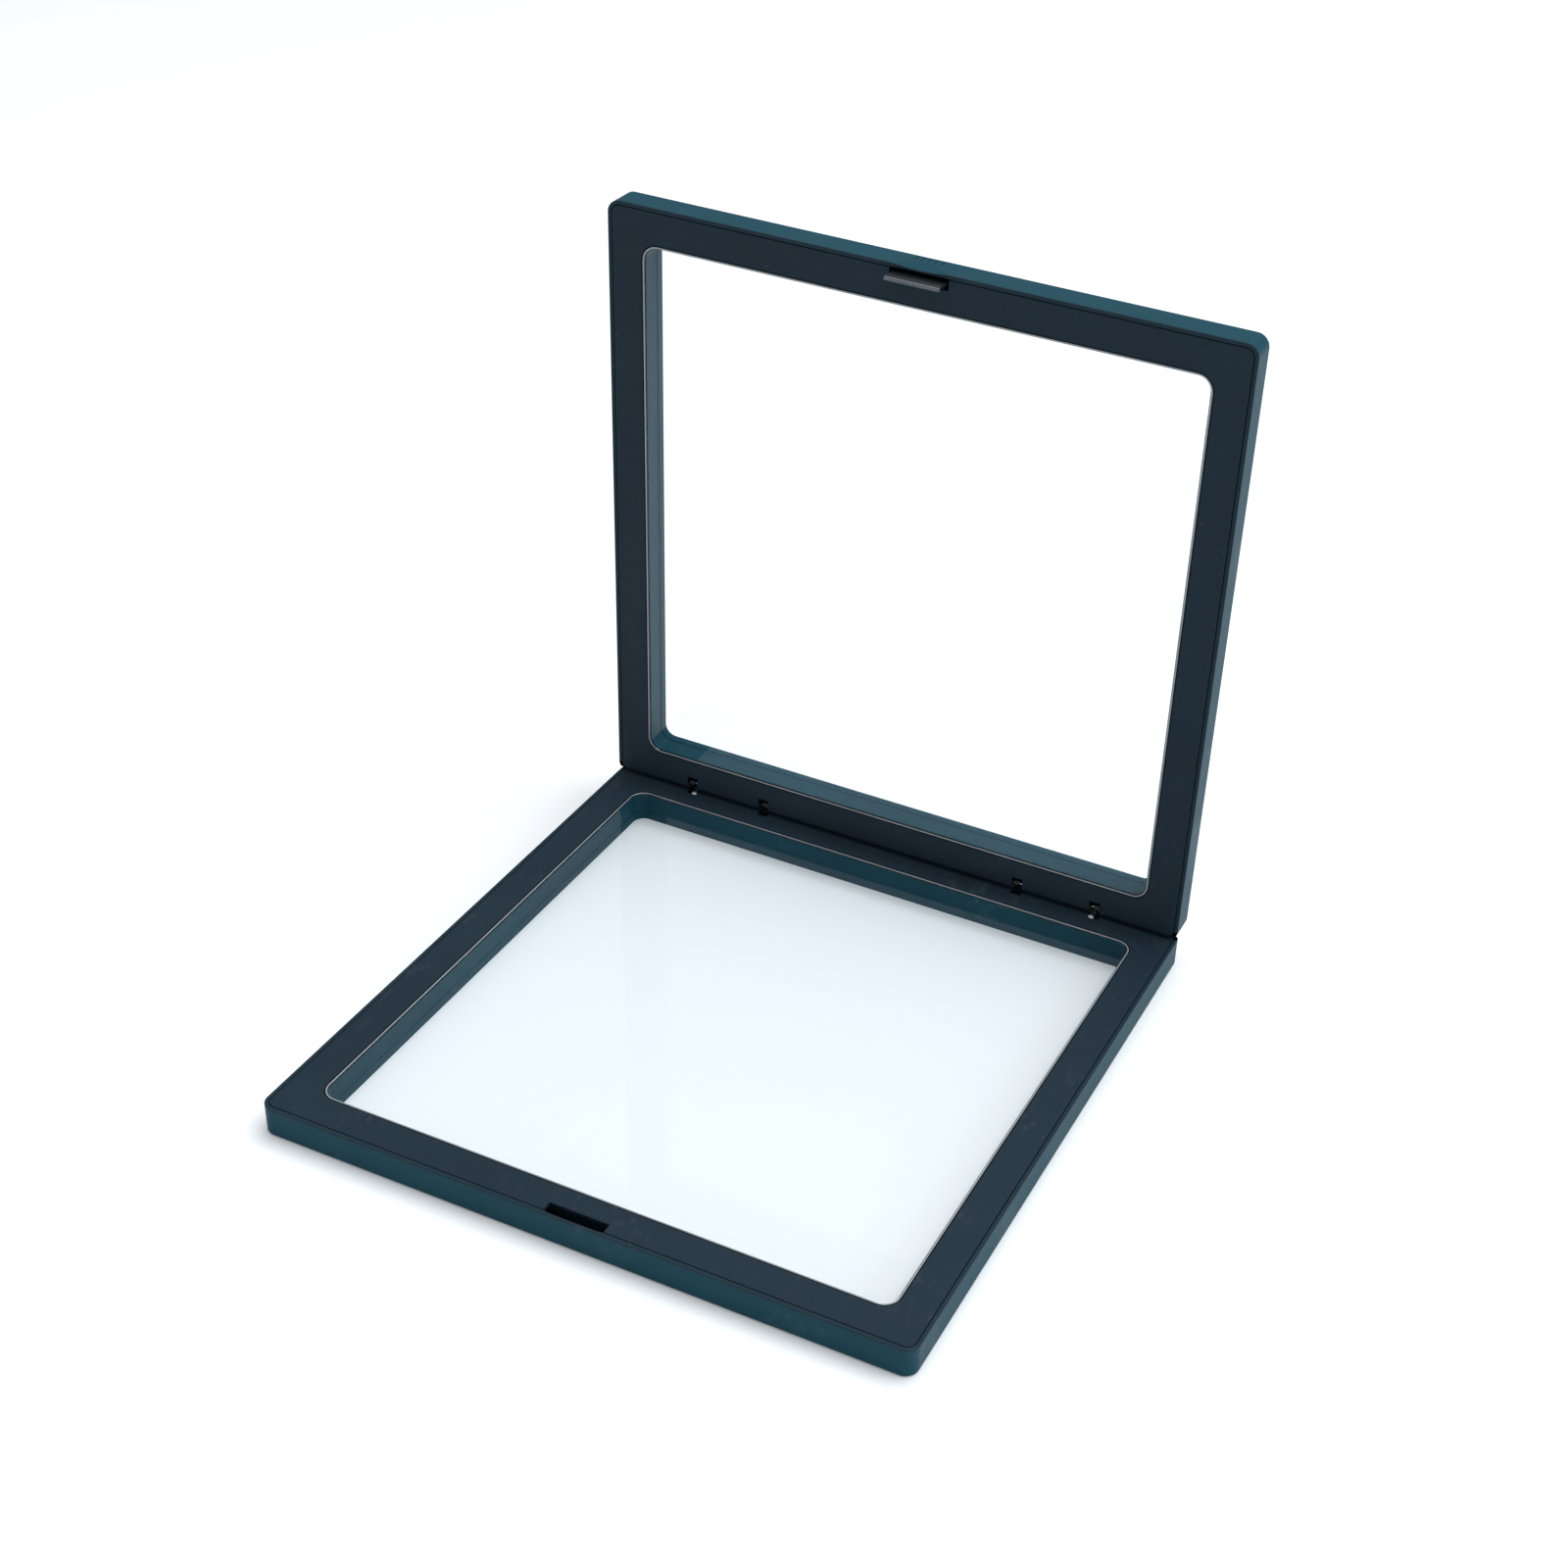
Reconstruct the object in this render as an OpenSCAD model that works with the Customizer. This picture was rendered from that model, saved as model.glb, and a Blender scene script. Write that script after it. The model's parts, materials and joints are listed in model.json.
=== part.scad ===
// Hinged floating display frame: two framed halves, each with a stretched clear film,
// joined by two pinned hinge clips along one edge and closed by a push latch on the other.
// Shown standing open at a right angle. The lower half rests on its outer face.
//
// Each half is drawn flat in its own half frame: X across, Y from the hinge edge to the
// latch edge, Z from the inner face (0) down to the outer face. in_lower() and in_upper()
// then set the two halves in place.

/* [Case] */
// Width of the case, along the hinge
case_w = 200; // [180:1:240]
// Depth of one half, from hinge edge to latch edge
case_d = 198; // [180:1:240]
// Thickness of one half
half_t = 9.8; // [9.5:0.05:12]
// In-plane radius of the corners on the latch edge
corner_r = 4; // [3.5:0.5:5]
// In-plane radius of the corners on the hinge edge
hinge_corner_r = 3; // [3:0.5:5]
// Radius of the outer face's edge
edge_r = 0.9; // [0.6:0.1:1.2]

/* [Walls] */
// Thickness of the side wall, seen as the rim round the inner panel
rim_t = 1.15; // [1:0.05:1.3]
// Thickness of the outer face
plate_t = 1.6; // [1.4:0.1:2]
// Thickness of the window wall
window_wall_t = 0.9; // [0.85:0.05:1.2]
// Depth from the inner face at which the window wall steps in
step_depth = 7; // [6:0.5:7.5]
// How far the window wall steps in
step_w = 0.3; // [0.2:0.05:0.5]

/* [Panel] */
// Width of the groove between rim and panel
groove_w = 0.25; // [0.2:0.05:0.35]
// Distance from the outer edge to the panel's inner edge
panel_edge = 11.1; // [11:0.05:12]
// Thickness of the inner panel
panel_t = 1.2; // [1.1:0.05:1.25]
// Radius of the panel's window corners
panel_window_r = 5.35; // [5:0.05:7]
// Pegs along each side of the panel
pegs_per_side = 4; // [3:1:5]

/* [Film] */
// Width of the open valley between panel and film ring
valley_w = 0.3; // [0.25:0.05:0.5]
// Thickness of the clear film
film_t = 0.12; // [0.1:0.01:0.2]
// Depth of the film's face below the inner face
film_depth = 0.5; // [0.45:0.05:0.6]
// Width of the ring that holds the film's edge
ring_w = 0.6; // [0.5:0.05:0.7]

/* [Hinge] */
// Distance from the hinge edge to the pivot axis
pivot_in = 2.0; // [2:0.05:2.1]
// Depth of the pivot axis in the upper half
pivot_depth = 2.1; // [2.1:0.05:2.2]
// Gap between the inner faces when the case is closed
close_gap = 0.4; // [0.4:0.05:0.5]
// Distance from the middle of the case to the middle of each hinge clip
clip_x = 58.75; // [50:0.25:65]
// Distance between the two notches of one clip
notch_pitch = 26.5; // [26:0.25:28]
// Width of a notch
notch_w = 3.7; // [3.6:0.05:4]
// Length of a notch from the hinge edge
notch_l = 5; // [5:0.1:5.5]
// Width of a clip arm
arm_w = 1.9; // [1.7:0.1:1.9]
// Radius of the knuckle at the end of an arm
knuckle_r = 1.5; // [1.4:0.05:1.5]
// Radius of a hinge pin
pin_r = 0.5; // [0.45:0.05:0.5]

/* [Latch] */
// Width of the latch slots
slot_w = 18.4; // [18:0.1:20]
// Distance from the latch edge to the inner side of the slots
slot_in = 4.5; // [4.5:0.1:5]
// Width of the hook
hook_w = 17; // [16:0.1:17.2]
// How far the hook stands proud of the inner face
hook_proud = 5; // [4.8:0.1:5.2]
// Travel of the hook when the thumb scallop is pressed
hook_travel = 0.8; // [0.5:0.1:0.8]

/* [Hidden] */
$fn = 64;

over = 1;
panel_in = rim_t + groove_w;
panel_r = corner_r - panel_in;
panel_hinge_r = hinge_corner_r - panel_in;
wall_in = panel_edge + valley_w;
wall_r = panel_window_r - valley_w;
film_back = film_depth + film_t;
ring_drop = 0.05;
window_in = wall_in + window_wall_t;
window_r = wall_r - window_wall_t;
floor_depth = half_t - plate_t;
// Where the open upper half stands on the lower one
pivot_up = pivot_depth + close_gap;
upper_lift = pivot_up - pivot_in;
upper_set = pivot_in + pivot_depth;
overhang = half_t - upper_set;
hinge_y = (case_d - overhang) / 2;
hinge_round_r = pivot_in;
// Peg row, on the window side of the border
peg_in = 9;
peg_r = 1;
peg_clear = 0.05;
peg_l = 4;
socket_r = 2.1;
// Clip arms lean to the outer side of their notches
arm_shift = 0.6;
arm_t = 1.6;
// Shoulder beside each arm, below the pin
shoulder_w = 1.3;
shoulder_up = 1.7;
pin_clear = 0.05;
pin_l = 5.6;
pin_stub = 0.1;
boss_w = 4.2;
boss_l = 4.5;
clip_plate_t = 1.25;
clip_plate_depth = panel_t + 0.15;
clip_plate_l = 5.2;
clip_gap = 0.1;
seat_w = 6;
seat_shift = 2.5;
rivet_r = 0.5;
rivet_head_r = 1;
rivet_barrel_t = 0.7;
rivet_dome_t = 0.55;
rivet_dome_drop = (pow(rivet_head_r, 2) - pow(rivet_dome_t, 2)) / (2 * rivet_dome_t);
// Hollow in the middle of a rivet's head
dimple_r = 0.32;
dimple_t = 0.5;
rivet_v = 3.95;
rivet_shift = 0.75;
rivet_l = 3.2;
notch_depth = 4.4;
// Latch section, measured from the latch edge
stem_out = 2.35;
stem_t = 1.0;
barb_out = 1.85;
barb_l = 1.5;
barb_back = 0.2;
hook_tip = 0.2;
hook_foot_l = 6;
hook_foot_t = 1.7;
hook_foot_out = 1.45;
hook_lift = 0.3;
rail_gap = 0.4;
rail_w = 1;
rail_h = 2;
rail_l = 8;
keeper_lip_out = 2.1;
keeper_top = 1.4;
keeper_lip_t = 1.35;
keeper_t = 0.35;
keeper_l = 5.6;
keeper_w = 18;
// Thumb scallop in the latch edge of the upper half
scallop_w = 18;
scallop_cut = 0.6;
scallop_l = 4.6;
scallop_r = (pow(scallop_w / 2, 2) + pow(scallop_cut, 2)) / (2 * scallop_cut);
// Ribs pressed for the thumb behind the scallop
grip_n = 5;
grip_pitch = 2;
grip_l = 2.4;
grip_cut = 0.25;
grip_w = 0.6;

shell_colour = [0.12, 0.15, 0.18];
panel_colour = [0.14, 0.17, 0.21];
clear_colour = [0.85, 0.92, 0.95, 0.3];
ring_colour = [0.75, 0.8, 0.85, 0.8];
steel_colour = [0.75, 0.76, 0.78];
clip_colour = [0.08, 0.09, 0.1];

// Sets a half-frame shape in place as the lower half, face up
module in_lower() {
  translate([0, hinge_y, half_t])
    rotate([180, 0, 0])
      children();
}

// Sets a half-frame shape in place as the upper half, standing open
module in_upper() {
  translate([0, hinge_y - upper_set, half_t + upper_lift])
    rotate([90, 0, 180])
      children();
}

// Rounded outline of the half, drawn in by a distance: r is the corner radius on the
// latch edge and rh the one on the hinge edge
module outline(inset, r, rh) {
  w = case_w - 2 * inset;
  d = case_d - 2 * inset;
  translate([0, case_d / 2]) {
    translate([r - w / 2, 0])
      square([w - 2 * r, d / 2]);
    translate([rh - w / 2, -d / 2])
      square([w - 2 * rh, d / 2]);
    translate([-w / 2, rh - d / 2])
      square([w, d - r - rh]);
    for (sx = [-1, 1]) {
      translate([sx * (w / 2 - r), d / 2 - r])
        circle(r);
      translate([sx * (w / 2 - rh), rh - d / 2])
        circle(rh);
    }
  }
}

// Flat slab of the outline between two depths
module slab(inset, r, rh, z0, z1) {
  translate([0, 0, z0])
    linear_extrude(z1 - z0)
      outline(inset, r, rh);
}

// Solid block of one half, with its outer face's edge rounded
module block() {
  rim_z = half_t - edge_r;
  slab(0, corner_r, hinge_corner_r, 0, rim_z);
  slab(edge_r, corner_r - edge_r, hinge_corner_r - edge_r, rim_z, half_t);
  for (sx = [-1, 1])
    translate([sx * (case_w / 2 - edge_r), case_d - corner_r, rim_z])
      rotate([90, 0, 0])
        linear_extrude(case_d - corner_r - hinge_corner_r)
          mirror([sx < 0 ? 1 : 0, 0])
            edge_section(0);
  block_edge(corner_r, 1);
  block_edge(hinge_corner_r, -1);
}

// Quarter round of the outer edge, set out from the corner's axis by a distance
module edge_section(out) {
  translate([out, 0])
    intersection() {
      circle(edge_r);
      square(edge_r);
    }
}

// Rounded outer edge along the latch side (1) or the hinge side (-1), with its corners
module block_edge(r, side) {
  translate([0, case_d / 2 + side * case_d / 2, half_t - edge_r]) {
    translate([r - case_w / 2, -side * edge_r, 0])
      rotate([90, 0, 90])
        linear_extrude(case_w - 2 * r)
          mirror([side < 0 ? 1 : 0, 0])
            edge_section(0);
    for (sx = [-1, 1])
      translate([sx * (case_w / 2 - r), -side * r, 0])
        rotate([0, 0, side > 0 ? (sx > 0 ? 0 : 90) : (sx > 0 ? 270 : 180)])
          rotate_extrude(angle = 90)
            edge_section(r - edge_r);
  }
}

// Places a child at each peg: spaced along each side of the border
module at_pegs() {
  run_x = case_w - 2 * peg_in;
  run_y = case_d - 2 * peg_in;
  for (i = [0 : pegs_per_side - 1])
    for (side = [-1, 1]) {
      along = (i + 0.5) / pegs_per_side - 0.5;
      translate([side * run_x / 2, case_d / 2 + along * run_y, 0])
        children();
      translate([along * run_x, case_d / 2 + side * run_y / 2, 0])
        children();
    }
}

// Round-off of the inner hinge edge, centred on the pivot
module hinge_round() {
  rotate([90, 0, 90])
    linear_extrude(case_w + 2 * over, center = true)
      difference() {
        translate([-over, -over])
          square([over + rim_t, over + pivot_depth]);
        translate([pivot_in, pivot_depth])
          circle(hinge_round_r);
      }
}

// Places a child at every notch
module at_notches() {
  for (clip = [-1, 1], arm = [-1, 1])
    translate([clip * clip_x + arm * notch_pitch / 2, 0, 0])
      children();
}

// Ring-shaped space between the side wall and the window wall
module border(z0, z1) {
  difference() {
    slab(rim_t, corner_r - rim_t, hinge_corner_r - rim_t, z0, z1);
    slab(wall_in, wall_r, wall_r, z0 - over, z1 + over);
  }
}

// Shell common to both halves, before its slots and notches
module shell() {
  difference() {
    block();
    border(-over, panel_t);
    difference() {
      border(panel_t, floor_depth);
      at_pegs()
        translate([0, 0, panel_t - over])
          cylinder(h = floor_depth - panel_t + 2 * over, r = socket_r);
    }
    slab(wall_in, wall_r, wall_r, -over, film_back);
    slab(window_in, window_r, window_r, -over, step_depth);
    slab(window_in + step_w, window_r - step_w, window_r - step_w, -over, half_t + over);
    at_pegs()
      translate([0, 0, panel_t - over])
        cylinder(h = peg_l + 2 * over, r = peg_r + peg_clear);
    hinge_round();
  }
}

module panel() {
  difference() {
    slab(panel_in, panel_r, panel_hinge_r, 0, panel_t);
    slab(panel_edge, panel_window_r, panel_window_r, -over, panel_t + over);
    at_notches()
      translate([-notch_w / 2, 0, -over])
        cube([notch_w, notch_l, panel_t + 2 * over]);
    translate([-slot_w / 2, case_d - slot_in, -over])
      cube([slot_w, slot_in, panel_t + 2 * over]);
  }
  at_pegs()
    translate([0, 0, panel_t - peg_clear])
      cylinder(h = peg_l, r = peg_r);
}

module film() {
  slab(wall_in, wall_r, wall_r, film_depth, film_back);
}

// Section of the film ring: flat underneath, domed on the inner face
module ring_section() {
  intersection() {
    translate([-ring_w / 2, -film_depth])
      square([ring_w, film_depth]);
    translate([0, -film_depth])
      circle(film_depth - ring_drop);
  }
}

module film_ring() {
  mid = wall_in + ring_w / 2;
  r = wall_r - ring_w / 2;
  run_x = case_w - 2 * mid - 2 * r;
  run_y = case_d - 2 * mid - 2 * r;
  for (side = [-1, 1]) {
    translate([side * (case_w / 2 - mid), case_d / 2 + run_y / 2, 0])
      rotate([90, 0, 0])
        linear_extrude(run_y)
          mirror([0, 1])
            ring_section();
    translate([-run_x / 2, case_d / 2 + side * (case_d / 2 - mid), 0])
      rotate([90, 0, 90])
        linear_extrude(run_x)
          mirror([0, 1])
            ring_section();
  }
  for (quarter = [0 : 3]) {
    sx = (quarter == 0 || quarter == 3) ? 1 : -1;
    sy = quarter < 2 ? 1 : -1;
    translate([sx * run_x / 2, case_d / 2 + sy * run_y / 2, 0])
      rotate([0, 0, quarter * 90])
        rotate_extrude(angle = 90)
          translate([r, 0])
            mirror([0, 1])
              ring_section();
  }
}

// Clears the notches through the rim and the hollow behind it
module notch_cuts(depth, length) {
  at_notches()
    translate([-notch_w / 2, -over, -over])
      cube([notch_w, length + over, depth + over]);
}

module lower_shell() {
  arch_r = (pow(slot_w / 2, 2) + pow(rim_t / 2, 2)) / rim_t;
  color(shell_colour)
    in_lower()
      difference() {
        union() {
          shell();
          clip_seats();
        }
        notch_cuts(clip_plate_depth, notch_l);
        clip_rivet_holes();
        intersection() {
          translate([-slot_w / 2, case_d - 2 * rim_t, -over])
            cube([slot_w, 2 * rim_t, over + keeper_top]);
          translate([0, case_d - rim_t / 2 - arch_r, -over])
            cylinder(h = 2 * over + keeper_top, r = arch_r, $fn = 128);
        }
      }
}

// Posts that the clip plates rest on, one under each end of a plate
module clip_seats() {
  top = clip_plate_depth + clip_plate_t;
  for (clip = [-1, 1], arm = [-1, 1])
    translate([clip * clip_x + arm * (notch_pitch / 2 - seat_shift) - seat_w / 2,
               rim_t - over / 2, top])
      cube([seat_w, clip_plate_l + over / 2, floor_depth - top + over / 2]);
}

module clip_rivet_holes() {
  for (clip = [-1, 1])
    translate([rivet_x(clip), rivet_v, clip_plate_depth])
      cylinder(h = rivet_l + peg_clear, r = rivet_r);
}

// Each rivet sits in the outer notch of its clip, on the free side of the arm
function rivet_x(clip) = clip * (clip_x + notch_pitch / 2 - rivet_shift);

module lower_panel() {
  color(panel_colour)
    in_lower()
      panel();
}

module lower_film() {
  color(clear_colour)
    in_lower()
      film();
}

module lower_film_ring() {
  color(ring_colour)
    in_lower()
      film_ring();
}

// Blocks beside the upper notches that carry the hinge pins
module pin_bosses() {
  for (clip = [-1, 1], arm = [-1, 1]) {
    x0 = clip * clip_x + arm * (notch_pitch / 2 + notch_w / 2 + boss_w / 2);
    translate([x0 - boss_w / 2, rim_t - over / 2, panel_t + 0.05])
      cube([boss_w, boss_l - rim_t + over / 2, floor_depth - panel_t]);
  }
}

module pin_bores() {
  for (clip = [-1, 1], arm = [-1, 1]) {
    x0 = clip * clip_x + arm * (notch_pitch / 2 + notch_w / 2 + boss_w / 2 - over / 2);
    translate([x0, pivot_in, pivot_depth])
      rotate([0, 90, 0])
        cylinder(h = boss_w - over / 2, r = pin_r + pin_clear, center = true);
  }
}

// Shallow thumb scallop, deepest at the inner face and running out towards the outer face
module scallop() {
  lean = atan(scallop_cut / scallop_l);
  translate([0, case_d - scallop_cut, 0])
    rotate([-lean, 0, 0])
      translate([0, scallop_r, -2 * over])
        cylinder(h = scallop_l + 4 * over, r = scallop_r, $fn = 160);
}

module upper_shell() {
  color(shell_colour)
    in_upper()
      difference() {
        union() {
          shell();
          pin_bosses();
          for (side = [-1, 1])
            translate([side * (hook_w / 2 + rail_gap + rail_w / 2) - rail_w / 2,
                       case_d - rail_l, floor_depth - rail_h])
              cube([rail_w, rail_l - rim_t / 2, rail_h + over / 2]);
        }
        notch_cuts(notch_depth, notch_l);
        pin_bores();
        scallop();
        for (i = [0 : grip_n - 1])
          translate([(i - (grip_n - 1) / 2) * grip_pitch - grip_w / 2,
                     case_d - grip_cut, scallop_l + 1])
            cube([grip_w, over, grip_l]);
      }
}

module upper_panel() {
  color(panel_colour)
    in_upper()
      panel();
}

module upper_film() {
  color(clear_colour)
    in_upper()
      film();
}

module upper_film_ring() {
  color(ring_colour)
    in_upper()
      film_ring();
}

// Hinge clip: a plate under the lower panel with two knuckled arms that reach up
// through the notches into the upper half
module hinge_clip(clip) {
  arm_dx = notch_pitch / 2 + arm_shift;
  plate_w = 2 * arm_dx + arm_w;
  color(clip_colour)
    in_lower()
      translate([clip * clip_x, 0, 0])
        difference() {
          union() {
            translate([-plate_w / 2, rim_t + clip_gap, clip_plate_depth])
              cube([plate_w, clip_plate_l, clip_plate_t]);
            for (arm = [-1, 1])
              translate([arm * arm_dx, 0, 0]) {
                translate([-arm_w / 2, rim_t + clip_gap, -pivot_up])
                  cube([arm_w, arm_t, pivot_up + clip_plate_depth + clip_plate_t]);
                translate([arm < 0 ? 0 : -arm_w / 2 - shoulder_w, rim_t + clip_gap, -shoulder_up])
                  cube([arm_w / 2 + shoulder_w, arm_t, shoulder_up + clip_plate_depth + clip_plate_t]);
                translate([0, pivot_in, -pivot_up])
                  rotate([0, 90, 0])
                    cylinder(h = arm_w, r = knuckle_r, center = true);
              }
          }
          translate([0, pivot_in, -pivot_up])
            rotate([0, 90, 0])
              cylinder(h = plate_w + 2 * over, r = pin_r, center = true);
          translate([rivet_x(clip) - clip * clip_x, rivet_v, 0])
            cylinder(h = rivet_l + over, r = rivet_r);
        }
}

module hinge_clip_left() {
  hinge_clip(-1);
}

module hinge_clip_right() {
  hinge_clip(1);
}

// Steel pin: pressed in a knuckle, free to turn in its bore in the upper shell
module hinge_pin(clip, arm) {
  x0 = clip * clip_x + arm * (notch_pitch / 2 + arm_shift - arm_w / 2 - pin_stub);
  color(steel_colour)
    in_lower()
      translate([x0, pivot_in, -pivot_up])
        rotate([0, arm * 90, 0])
          cylinder(h = pin_l, r = pin_r);
}

module hinge_pin_1() {
  hinge_pin(-1, -1);
}

module hinge_pin_2() {
  hinge_pin(-1, 1);
}

module hinge_pin_3() {
  hinge_pin(1, -1);
}

module hinge_pin_4() {
  hinge_pin(1, 1);
}

// Half section of a rivet's head: a barrel, a domed crown and a hollow in its middle
module rivet_head_section() {
  difference() {
    union() {
      square([rivet_head_r, rivet_barrel_t]);
      translate([0, rivet_barrel_t])
        intersection() {
          square([rivet_head_r, rivet_dome_t]);
          translate([0, -rivet_dome_drop])
            circle(rivet_dome_t + rivet_dome_drop);
        }
    }
    translate([-over, rivet_barrel_t + rivet_dome_t - dimple_t])
      square([over + dimple_r, dimple_t + over]);
  }
}

// Rivet that fixes a clip's plate to the lower shell
module clip_rivet(clip) {
  color(steel_colour)
    in_lower()
      translate([rivet_x(clip), rivet_v, clip_plate_depth]) {
        cylinder(h = rivet_l, r = rivet_r);
        rotate([180, 0, 0])
          rotate_extrude()
            rivet_head_section();
      }
}

module clip_rivet_left() {
  clip_rivet(-1);
}

module clip_rivet_right() {
  clip_rivet(1);
}

// Latch hook of the upper half: a foot that slides on the shell's floor and a barbed
// stem that stands out through the slot
module latch_hook() {
  back = floor_depth - hook_lift;
  edge = case_d;
  color(panel_colour)
    in_upper()
      rotate([90, 0, 90])
        linear_extrude(hook_w, center = true)
          polygon([
            [edge - hook_foot_out, back],
            [edge - hook_foot_out - hook_foot_l, back],
            [edge - hook_foot_out - hook_foot_l, back - hook_foot_t],
            [edge - stem_out - stem_t, back - hook_foot_t],
            [edge - stem_out - stem_t, -hook_proud],
            [edge - stem_out - hook_tip, -hook_proud],
            [edge - barb_out, -hook_proud + barb_l],
            [edge - stem_out, -hook_proud + barb_l + barb_back],
            [edge - stem_out, back - hook_foot_t],
            [edge - hook_foot_out, back - hook_foot_t]
          ]);
}

// Keeper of the lower half: a strip on the inside of the rim with a lip for the barb
module latch_keeper() {
  color(clip_colour)
    in_lower()
      rotate([90, 0, 90])
        linear_extrude(keeper_w, center = true)
          polygon([
            [case_d - rim_t, keeper_top],
            [case_d - keeper_lip_out, keeper_top],
            [case_d - keeper_lip_out, keeper_top + keeper_lip_t],
            [case_d - rim_t - keeper_t, keeper_top + keeper_lip_t],
            [case_d - rim_t - keeper_t, keeper_top + keeper_l],
            [case_d - rim_t, keeper_top + keeper_l]
          ]);
}

lower_shell();
lower_panel();
lower_film();
lower_film_ring();
upper_shell();
upper_panel();
upper_film();
upper_film_ring();
hinge_clip_left();
hinge_clip_right();
hinge_pin_1();
hinge_pin_2();
hinge_pin_3();
hinge_pin_4();
clip_rivet_left();
clip_rivet_right();
latch_hook();
latch_keeper();
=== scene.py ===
import json
import math

import bmesh
import bpy
from bpy.props import FloatProperty, FloatVectorProperty, IntProperty, PointerProperty
from mathutils import Euler, Matrix, Vector


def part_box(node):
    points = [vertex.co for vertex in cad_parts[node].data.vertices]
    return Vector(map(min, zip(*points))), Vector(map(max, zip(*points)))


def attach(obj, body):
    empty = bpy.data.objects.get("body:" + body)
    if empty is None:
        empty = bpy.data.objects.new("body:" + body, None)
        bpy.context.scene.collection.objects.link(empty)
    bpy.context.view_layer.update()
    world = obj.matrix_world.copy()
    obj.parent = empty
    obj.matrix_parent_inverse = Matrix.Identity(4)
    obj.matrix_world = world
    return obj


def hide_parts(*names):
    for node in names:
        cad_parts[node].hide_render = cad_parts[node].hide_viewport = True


bl_info = {
    "name": "Hinged floating display frame",
    "version": (1, 0, 0),
    "blender": (4, 5, 0),
    "location": "View3D > Sidebar > Floating Frame",
    "description": "Builds a two-halved display frame with clear films, pinned hinges and a push latch",
    "category": "Object",
}

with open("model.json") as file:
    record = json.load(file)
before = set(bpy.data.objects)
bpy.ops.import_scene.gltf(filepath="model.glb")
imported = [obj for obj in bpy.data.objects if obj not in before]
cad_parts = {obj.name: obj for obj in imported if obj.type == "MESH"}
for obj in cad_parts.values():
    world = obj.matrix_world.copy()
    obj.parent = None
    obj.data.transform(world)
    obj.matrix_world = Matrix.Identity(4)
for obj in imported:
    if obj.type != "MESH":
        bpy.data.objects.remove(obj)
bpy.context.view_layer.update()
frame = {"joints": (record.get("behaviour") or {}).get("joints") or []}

# Each half is drawn flat: X across, Y from the hinge edge to the latch edge, and Z from
# the inner face (0) to the outer face. The matrices below set a drawn piece in its place.
LOWER_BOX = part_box("lower_shell")
UPPER_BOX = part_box("upper_shell")
CASE_W = LOWER_BOX[1][0] - LOWER_BOX[0][0]
CASE_D = LOWER_BOX[1][1] - LOWER_BOX[0][1]
HALF_T = LOWER_BOX[1][2] - LOWER_BOX[0][2]
PANEL_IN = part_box("lower_panel")[0][0] - LOWER_BOX[0][0]
FILM_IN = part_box("lower_film")[0][0] - LOWER_BOX[0][0]
FILM_TOP = HALF_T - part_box("lower_film")[1][2]
FILM_BACK = HALF_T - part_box("lower_film")[0][2]
HINGE = next(j for j in frame["joints"] if j["name"] == "case_hinge")
PIVOT_IN = LOWER_BOX[1][1] - HINGE["pos_m"][1]
PIVOT_UP = HINGE["pos_m"][2] - HALF_T
PIVOT_DEPTH = HINGE["pos_m"][1] - UPPER_BOX[0][1]
PLACES = {
    "lower": Matrix((
        (1, 0, 0, 0),
        (0, -1, 0, LOWER_BOX[1][1]),
        (0, 0, -1, LOWER_BOX[1][2]),
        (0, 0, 0, 1),
    )),
    "upper": Matrix((
        (-1, 0, 0, 0),
        (0, 0, 1, UPPER_BOX[0][1]),
        (0, 1, 0, UPPER_BOX[0][2]),
        (0, 0, 0, 1),
    )),
}
BODIES = {"lower": "lower_half", "upper": "upper_half"}

# OVER is how far a cutting tool runs past what it cuts, and BITE how far joined blocks run
# into each other. Places closer than NEAR are one place. All are in metres.
OVER = 0.002
BITE = 0.0005
NEAR = 1e-6


# ---------------------------------------------------------------- sizes and colours

def length(name, description, default):
    """A length that a user can change, in metres."""
    return FloatProperty(name=name, description=description, default=default, unit="LENGTH", precision=5)


def colour(name, description, default):
    """A surface colour that a user can change."""
    return FloatVectorProperty(name=name, description=description, default=default,
                               subtype="COLOR", size=3, min=0.0, max=1.0)


def position(name, description, default):
    """A place that a user can change, in metres."""
    return FloatVectorProperty(name=name, description=description, default=default,
                               subtype="TRANSLATION", unit="LENGTH", size=3, precision=5)


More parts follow.
